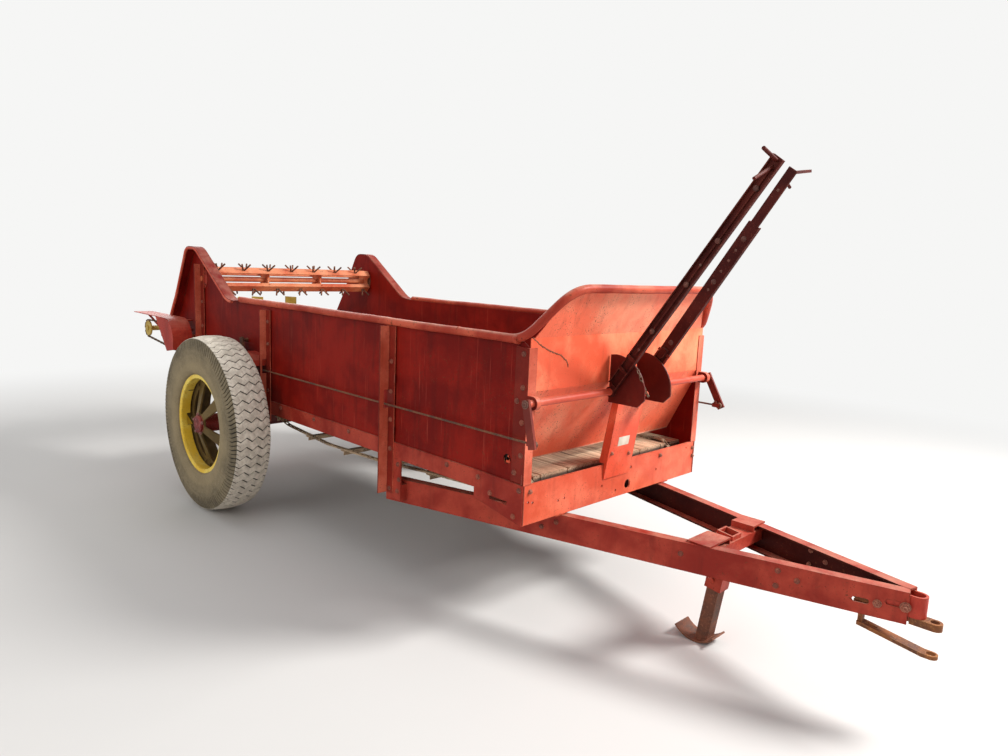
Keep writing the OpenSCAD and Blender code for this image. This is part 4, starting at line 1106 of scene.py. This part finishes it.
def makeCrack():
    # line: the corners above, resampled and shaken by about a millimetre; the bar's radius varies at random
    fine, even = evenly(np.array([(0.6, y, z) for y, z in crackLine]), 120)
    fine[:, 2] += rng.normal(0, 1.1, len(fine))
    fine[:, 1] += rng.normal(0, 0.8, len(fine))
    crack = tube(fine, 1.0 + 0.5 * rng.random(len(fine)), 6, up=(1, 0, 0))
    knots = fine[::6] + [0.2, 0, 0]
    lump = turned([[2.9, -0.4], [2.6, 0.8], [1.1, 1.4]], 8)
    lumps = stamped(lump, knots, (1, 0, 0), 0.7 + 0.5 * rng.random(len(knots)))
    makePiece("front_crack", *joined(crack, lumps), "rustIron", "chassis")


# weld seams of the frame: start, end, radius of the bead, and the signs of Y it is made on
eachSide = (-1, 1)
weldSeams = [
    ((1, boxHalf - 2, 452), (1, boxHalf - 2, 598), 2.4, eachSide),
    ((-6, boxHalf + 6, 602), (-6, boxHalf + 6, 640), 2.2, eachSide),
    ((-749, boxHalf + 11, 640), (-749, boxHalf + 11, 674), 2.0, (-1,)),
    ((-749, boxHalf + 11, 860), (-749, boxHalf + 11, 894), 2.0, (-1,)),
    ((-751, boxHalf + 11, 640), (-751, boxHalf + 11, 674), 2.0, (-1,)),
    ((-751, boxHalf + 11, 860), (-751, boxHalf + 11, 894), 2.0, (-1,)),
    ((445, 205, 443), (535, 181, 443), 2.6, eachSide),
    ((1112, 26, 352), (1112, 26, 432), 2.2, eachSide),
    ((442, -30, 420), (442, 30, 420), 2.6, (1,)),
    ((508, -30, 419), (508, 30, 419), 2.6, (1,)),
]


def makeWelds():
    # the ripples of each bead start at a place of their own
    beads = []
    for start, end, radius, signs in weldSeams:
        for s in signs:
            flip = np.array([1, s, 1])
            beads.append(bead(start * flip, end * flip, radius, 3 + len(beads)))
    makePiece("weld_beads", *joined(*beads), "weldPaint", "chassis")


# drawbar: bolts in the right rail's own frame, as (along from the front end, above its lower edge)
barSetup = {"front": (1111, -35, 340), "rearX": -809, "big": ((84, 46), (8, 55)), "bigSize": (1.1, 1.35),
            "small": ((379, 78), (381, 26), (318, 58), (700, 60), (1180, 70), (1240, 40)), "through": 3}
railTilt = math.atan((boxHalf + barSetup["front"][1]) / (barSetup["front"][0] - barSetup["rearX"]))


def railSpots(places, out=0.0):
    x, y, z = barSetup["front"]
    c, t = math.cos(railTilt), math.sin(railTilt)
    return [[x - along * c + out * t, y - along * t - out * c, z + high] for along, high in places]


def makeDrawbarTrim():
    # the first three of the small bolts go through, with nuts on the inner side
    s = barSetup
    off = np.array([math.sin(railTilt), -math.cos(railTilt), 0])
    big = stamped(hexBolt, railSpots(s["big"]), off, s["bigSize"])
    small = stamped(capBolt, railSpots(s["small"]), off, 0.95)
    inner = stamped(hexBolt, railSpots(s["small"][:s["through"]], -6.0), -off, 0.75)
    makePiece("drawbar_bolts", *bothSides(joined(big, small, inner)), "boltSteel", "chassis")


# the pin goes across the socket below the cross channel, with its ring in front
standPin = {"x": 475.0, "z": 396, "from": -52, "to": 58, "radius": 7, "ringAt": (478, 66, 383),
            "ringRadius": 17, "ringWire": 2.8, "ringAcross": (0.5, 1, 0.2)}


def makeStandPin():
    # ring: centre + radius (cos a * side + sin a * other), as a round wire
    s = standPin
    pin = tube([[s["x"], y, s["z"]] for y in (s["from"], 0, s["to"])], s["radius"], 12)
    head = stamped(turned([[11, 0], [11, 5], [9, 7]], 12), [[s["x"], s["from"], s["z"]]], (0, -1, 0))
    normal = unit(s["ringAcross"])
    side = unit(np.cross((0, 0, 1.0), normal))
    a = circle(28)[:, None]
    out = np.cos(a) * side + np.sin(a) * np.cross(normal, side)
    ring = wireLoop(np.array(s["ringAt"]) + s["ringRadius"] * out, out, normal, s["ringWire"], 8)
    makePiece("stand_pin", *joined(pin, head, ring), "rustIron", "chassis")


# bearings of the beaters: radius of the ring of four bolts, and the round flange of the upper one
bearingSetup = {"upper_beater": {"ring": 45, "flange": [[59, 0], [59, 3.4], [57, 4.2], [18, 4.4]]},
                "main_beater": {"ring": 56}}


def makeBearingBolts():
    parts = []
    for node, s in bearingSetup.items():
        x, y, z = nodeMiddle(node)
        spots = ringSpots((x, -boxHalf - 0.1, z), s["ring"], circle(4) + np.pi / 4)
        parts.append(stamped(hexBolt, spots, (0, -1, 0), 0.8))
        if "flange" in s:
            parts.append(stamped(turned(s["flange"], 28, cap=False), [[x, -boxHalf, z]], (0, -1, 0)))
    makePiece("bearing_bolts", *bothSides(joined(*parts)), "framePaint", "chassis")


# apron: flat links round the rollers and on the sagging return, with angle slats riveted across;
# sag is the return's (x, z), and the slats' sections are (x, z) from their own corner
apronSetup = {"chainY": boxHalf - 110, "wide": 22.0, "pitch": 41.0, "barWide": 4.5, "barHalf": 4,
              "pinRadius": 3.4, "barrelRadius": 4.6, "rollZ": 554.0, "rollRadius": 48.2,
              "front": -110.0, "rear": -2590.0, "slats": 7, "slatFirst": -330, "slatStep": 330,
              "slatReach": float(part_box("apron_chain")[1][1]) * 1000,
              "sag": [(-2590, 506), (-2177, 507), (-2027, 506), (-1850, 458), (-1450, 434), (-1000, 448),
                      (-650, 476), (-110, 506)],
              "slatTop": [[0, 0], [30, 0], [30, 4], [4, 4], [4, 20], [0, 20]],
              "slatUnder": [[0, 20], [0, 16], [26, 16], [26, 0], [30, 0], [30, 20]]}


def apronLine():
    # closed line in the xz plane: half a circle round each roller, a sagging run below, a straight one above
    s = apronSetup
    r = s["rollRadius"]
    halves = []
    for x, low in ((s["rear"], np.pi / 2), (s["front"], -np.pi / 2)):
        a = np.linspace(low, low + np.pi, 24)
        halves.append(np.column_stack([x + r * np.cos(a), s["rollZ"] + r * np.sin(a)]))
    under = np.linspace(s["rear"] + 10, s["front"] - 10, 160)
    run = np.column_stack([under, np.interp(under, *np.transpose(s["sag"]))])
    return np.concatenate([halves[0], run, halves[1], halves[0][:1]])


def apronLink(step):
    # two bars, a round barrel between them at one end and a pin at the other, lying along x
    s = apronSetup
    half = step / 2
    w, thick, tall = s["wide"] / 2, s["barWide"], s["barHalf"]
    bars = [brick([-half - 2, y, -tall], [half - 3, y + thick, tall]) for y in (-w, w - thick)]
    rounds = [tube([[x, -w + inset, 0], [x, w - inset, 0]], r, 8)
              for x, inset, r in ((half - 4, 4, s["barrelRadius"]), (-half + 4, 1, s["pinRadius"]))]
    return joined(*bars, *rounds)


def makeApron():
    s = apronSetup
    loop = apronLine()
    middle, heading, step = linkSeats(loop, int(round(runLength(loop)[-1] / s["pitch"])))
    parts = [seated(apronLink(step), middle, heading, side * s["chainY"]) for side in (-1, 1)]
    reach, short = s["slatReach"], s["chainY"] + 14
    topZ = s["rollZ"] + 54
    for i in range(s["slats"]):
        x = s["slatFirst"] - i * s["slatStep"]
        z = float(np.interp(x + 15, *np.transpose(s["sag"]))) - 25
        parts.append(plate(s["slatTop"], 2 * reach, (x, reach, topZ)))
        parts.append(plate(s["slatUnder"], 2 * short, (x, short, z)))
        heads = [[x + 15, y, topZ + 4] for y in (-s["chainY"], s["chainY"])]
        parts.append(stamped(rivet, heads, (0, 0, 1), 0.9))
    obj = makePiece("apron_links", *joined(*parts), "apronSteel", "chassis")
    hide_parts("apron_chain")


# floor boards: each a long plank with worn edges, a slight cup and ragged ends; the outer ones are split in
# three, and their middle strip, under the apron's chain, stops short of the rollers
boardSetup = {"count": 7, "thick": 25.0, "top": 595.0, "front": -70.0, "rear": -2640.0, "inner": boxHalf - 5,
              "gap": 3, "edge": 3.2, "ragged": 5, "trackHalf": 20, "trackRear": -2510, "trackFront": -190,
              "nailX": (-420, -1000, -1560, -2300)}


def makeBoard(y0, y1, x0, x1, seed):
    # surface: section with eased corners swept along x, its height swayed by two slow waves, its ends random
    s = boardSetup
    e = s["edge"]
    wide = y1 - y0
    top, low = s["top"] - 0.6, s["top"] - s["thick"]
    across = np.array([[y0, low + e], [y0 + e, low], [y1 - e, low], [y1, low + e], [y1, top - e],
                       [y1 - e, top - 0.6], [y1 - wide * 0.3, top], [(y0 + y1) / 2, top - 0.9],
                       [y0 + wide * 0.3, top], [y0 + e, top - 0.6], [y0, top - e]])
    n, m = 60, len(across)
    x = np.linspace(x0, x1, n)
    sway = 0.5 * np.sin(x / 190.0 + seed * 1.7) + 0.3 * np.sin(x / 71.0 + seed)
    y, z = across.T[:, None]
    points = np.stack([np.repeat(x[:, None], m, 1), np.repeat(y, n, 0),
                       z - 0.4 + sway[:, None] * np.where(z > low + 10, 1, 0.3)], -1)
    rag = rng.random((2, m)) * s["ragged"]
    points[0, :, 0] += rag[0]
    points[-1, :, 0] -= rag[1]
    return points.reshape(-1, 3), [gridFaces(n, m, colsClosed=True)] + endFaces(n, m)


def makeFloorBoards():
    s = boardSetup
    wide = 2 * s["inner"] / s["count"]
    half = s["trackHalf"]
    parts = []
    for i in range(s["count"]):
        y0, y1 = -s["inner"] + i * wide + s["gap"], -s["inner"] + (i + 1) * wide - s["gap"]
        if i in (0, s["count"] - 1):
            track = math.copysign(apronSetup["chainY"], y0)
            low, high = track - half, track + half
            parts.append(makeBoard(y0, low, s["rear"], s["front"], i))
            parts.append(makeBoard(low - 0.2, high + 0.2, s["trackRear"], s["trackFront"], i + 0.4))
            parts.append(makeBoard(high, y1, s["rear"], s["front"], i + 0.2))
        else:
            parts.append(makeBoard(y0, y1, s["rear"], s["front"], i))
    shape = joined(*parts)
    # points below the top face mark the sides and underside for the painted shade
    boardSideShadeMask = (shape[0][:, 2] < s["top"] - 4.5).astype(float)
    obj = makePiece("aged_boards", *shape, "plankWood", "chassis", extra={"side": boardSideShadeMask})
    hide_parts("floor_boards")
    # nails in pairs, set askew across the middle of each board
    heads = [[x + dx, y, s["top"] - 0.9] for x in s["nailX"] for dx in (-9, 9)
             for y in -s["inner"] + wide * (np.arange(s["count"]) + 0.5) + dx * 3]
    makePiece("board_nails", *stamped(nail, heads, (0, 0, 1)), "rustIron", "chassis")


# rolled edge round each gable: (x, z) of its corners
gableEdge = {"points": [(-2170, 1108), (-2230, 1113), (-2640, 1388), (-2765, 1388), (-2930, 1100),
                        (-3046, 934)],
             "cut": 40, "radius": 8.5, "out": 52.0, "drop": 7}
# the light lip under the front sheet
frontLip = {"x": -148.5, "z": 638.5, "inset": 7, "radius": 3.4, "wave": 0.9, "waveLength": 83}
# the near-black disc behind the right side's hole, a painted shadow of the hole's inside, and the bent flap
# in it
holeSetup = {"coverAt": (-88, 13, 679), "cover": [[25, 0], [25, 2.5], [8, 3], [7, 9]],
             "flapAt": (-86, 6, 677), "flap": [[-13, -14], [11, -14], [1, 15], [-3, 15]], "flapThick": 2}


def makeGableRolls():
    # round bar along the rounded corners, its radius varied by two sines
    s = gableEdge
    path = rounded([(x, -boxHalf - s["out"], z - s["drop"]) for x, z in s["points"]], s["cut"], 10)
    t = np.linspace(0, 1, len(path))
    roll = tube(path, s["radius"] * (1 + 0.05 * np.sin(t * 40) + 0.04 * np.sin(t * 91)), 12, up=(0, 1, 0))
    makePiece("gable_rolls", *bothSides(roll), "shaftPaint", "chassis", sharp=60)


def makeFrontLip():
    # thin bar across the box whose height follows a slow sine
    s = frontLip
    y = np.linspace(-boxHalf + s["inset"], boxHalf - s["inset"], 80)
    line = np.column_stack([np.full(80, s["x"]), y, s["z"] + s["wave"] * np.sin(y / s["waveLength"])])
    makePiece("front_lip", *tube(line, s["radius"], 8), "dustyEdge", "chassis")


def makeHoleTrim():
    s = holeSetup
    coverAt, flapAt = (np.array(s[key]) - [0, boxHalf, 0] for key in ("coverAt", "flapAt"))
    # a near-black disc behind the hole as painted shadow
    cover = stamped(turned(s["cover"], 24), coverAt, (0, -1, 0))
    makePiece("hole_cover", *cover, "holeDark", "chassis")
    makePiece("hole_flap", *plate(s["flap"], s["flapThick"], flapAt, 0.5), "frontPaint", "chassis")


# straps that clamp the foot of the left lever: two across at a height, two along beside it, and their bolts
strapSetup = {"acrossAt": (108, 172), "across": [[-31, 0], [31, 0], [31, 12], [-31, 12]], "acrossThick": 3.2,
              "alongAt": 110, "alongOff": (-25, 25), "along": [[-4, 0], [4, 0], [4, 60], [-4, 60]],
              "alongThick": 3.0, "bolts": ((86, -12), (92, 10), (70, 0))}


def makeLeverStraps():
    s = strapSetup
    a = math.radians(leverSetup["left"]["lean"])
    across, up = (math.cos(a), 0, -math.sin(a)), (math.sin(a), 0, math.cos(a))
    parts = [plate(s["across"], s["acrossThick"], leverSpot("left", z), 0.7, across, up)
             for z in s["acrossAt"]]
    parts += [plate(s["along"], s["alongThick"], leverSpot("left", s["alongAt"], f), 0.7, across, up)
              for f in s["alongOff"]]
    parts.append(stamped(hexBolt, [leverSpot("left", z, f) for z, f in s["bolts"]], (0, -1, 0), 0.85))
    makePiece("lever_straps", *joined(*parts), "crankPaint", "lever_left")


# clamps at the front ends of the two long rods
clampSetup = {"behind": 26, "ahead": 10, "half": 9, "boltBack": 14, "boltSize": 0.8}


def makeRodClamp(side):
    # it sits round the mean of the points in the rod's last 30 mm
    s = clampSetup
    mesh = nodes["rod_" + side].data
    co = np.empty(len(mesh.vertices) * 3, np.float32)
    mesh.vertices.foreach_get("co", co)
    co = fromSill(co.reshape(-1, 3))
    end = co[co[:, 0] > co[:, 0].max() - 30].mean(0)
    h = s["half"]
    body = brick(end - [s["behind"], h, h], end + [s["ahead"], h, h], 1.5)
    bolt = stamped(hexBolt, [end + [-s["boltBack"], 0, h]], (0, 0, 1), s["boltSize"])
    makePiece("rod_clamp_" + side, *joined(body, bolt), "crankPaint", "rod_" + side)


makeLeverTrim()
makeLeverStraps()
for rodSide in outward:
    makeRodClamp(rodSide)
makeGableRolls()
makeFrontLip()
makeHoleTrim()
makeShortChain()
makeChainTab()
makePostTrim()
makeCrack()
makeWelds()
makeDrawbarTrim()
makeStandPin()
makeBearingBolts()
makeApron()
makeFloorBoards()
print("trim done")


def makeFloor():
    # a disc on a ring grid, far wider than the object
    turns, rings = 96, 6
    angle = np.linspace(0, 2 * np.pi, turns, endpoint=False)
    radius = np.linspace(0.01, floorTone["radius"], rings)
    x = (radius[:, None] * np.cos(angle)).ravel()
    y = (radius[:, None] * np.sin(angle)).ravel()
    verts = np.column_stack([x, y, np.full(x.size, floorTone["height"])])
    faces = gridFaces(rings, turns, colsClosed=True)
    mesh = bpy.data.meshes.new("floor")
    mesh.from_pydata(verts.tolist(), [], faces.tolist() + [list(range(turns))[::-1]])
    mesh.materials.append(floorSurface("floorSurface"))
    obj = bpy.data.objects.new("floor", mesh)
    bpy.context.scene.collection.objects.link(obj)


makeFloor()
makeLamps()
makeWorld()
makeCamera(cameraSetup)
print("stage done")
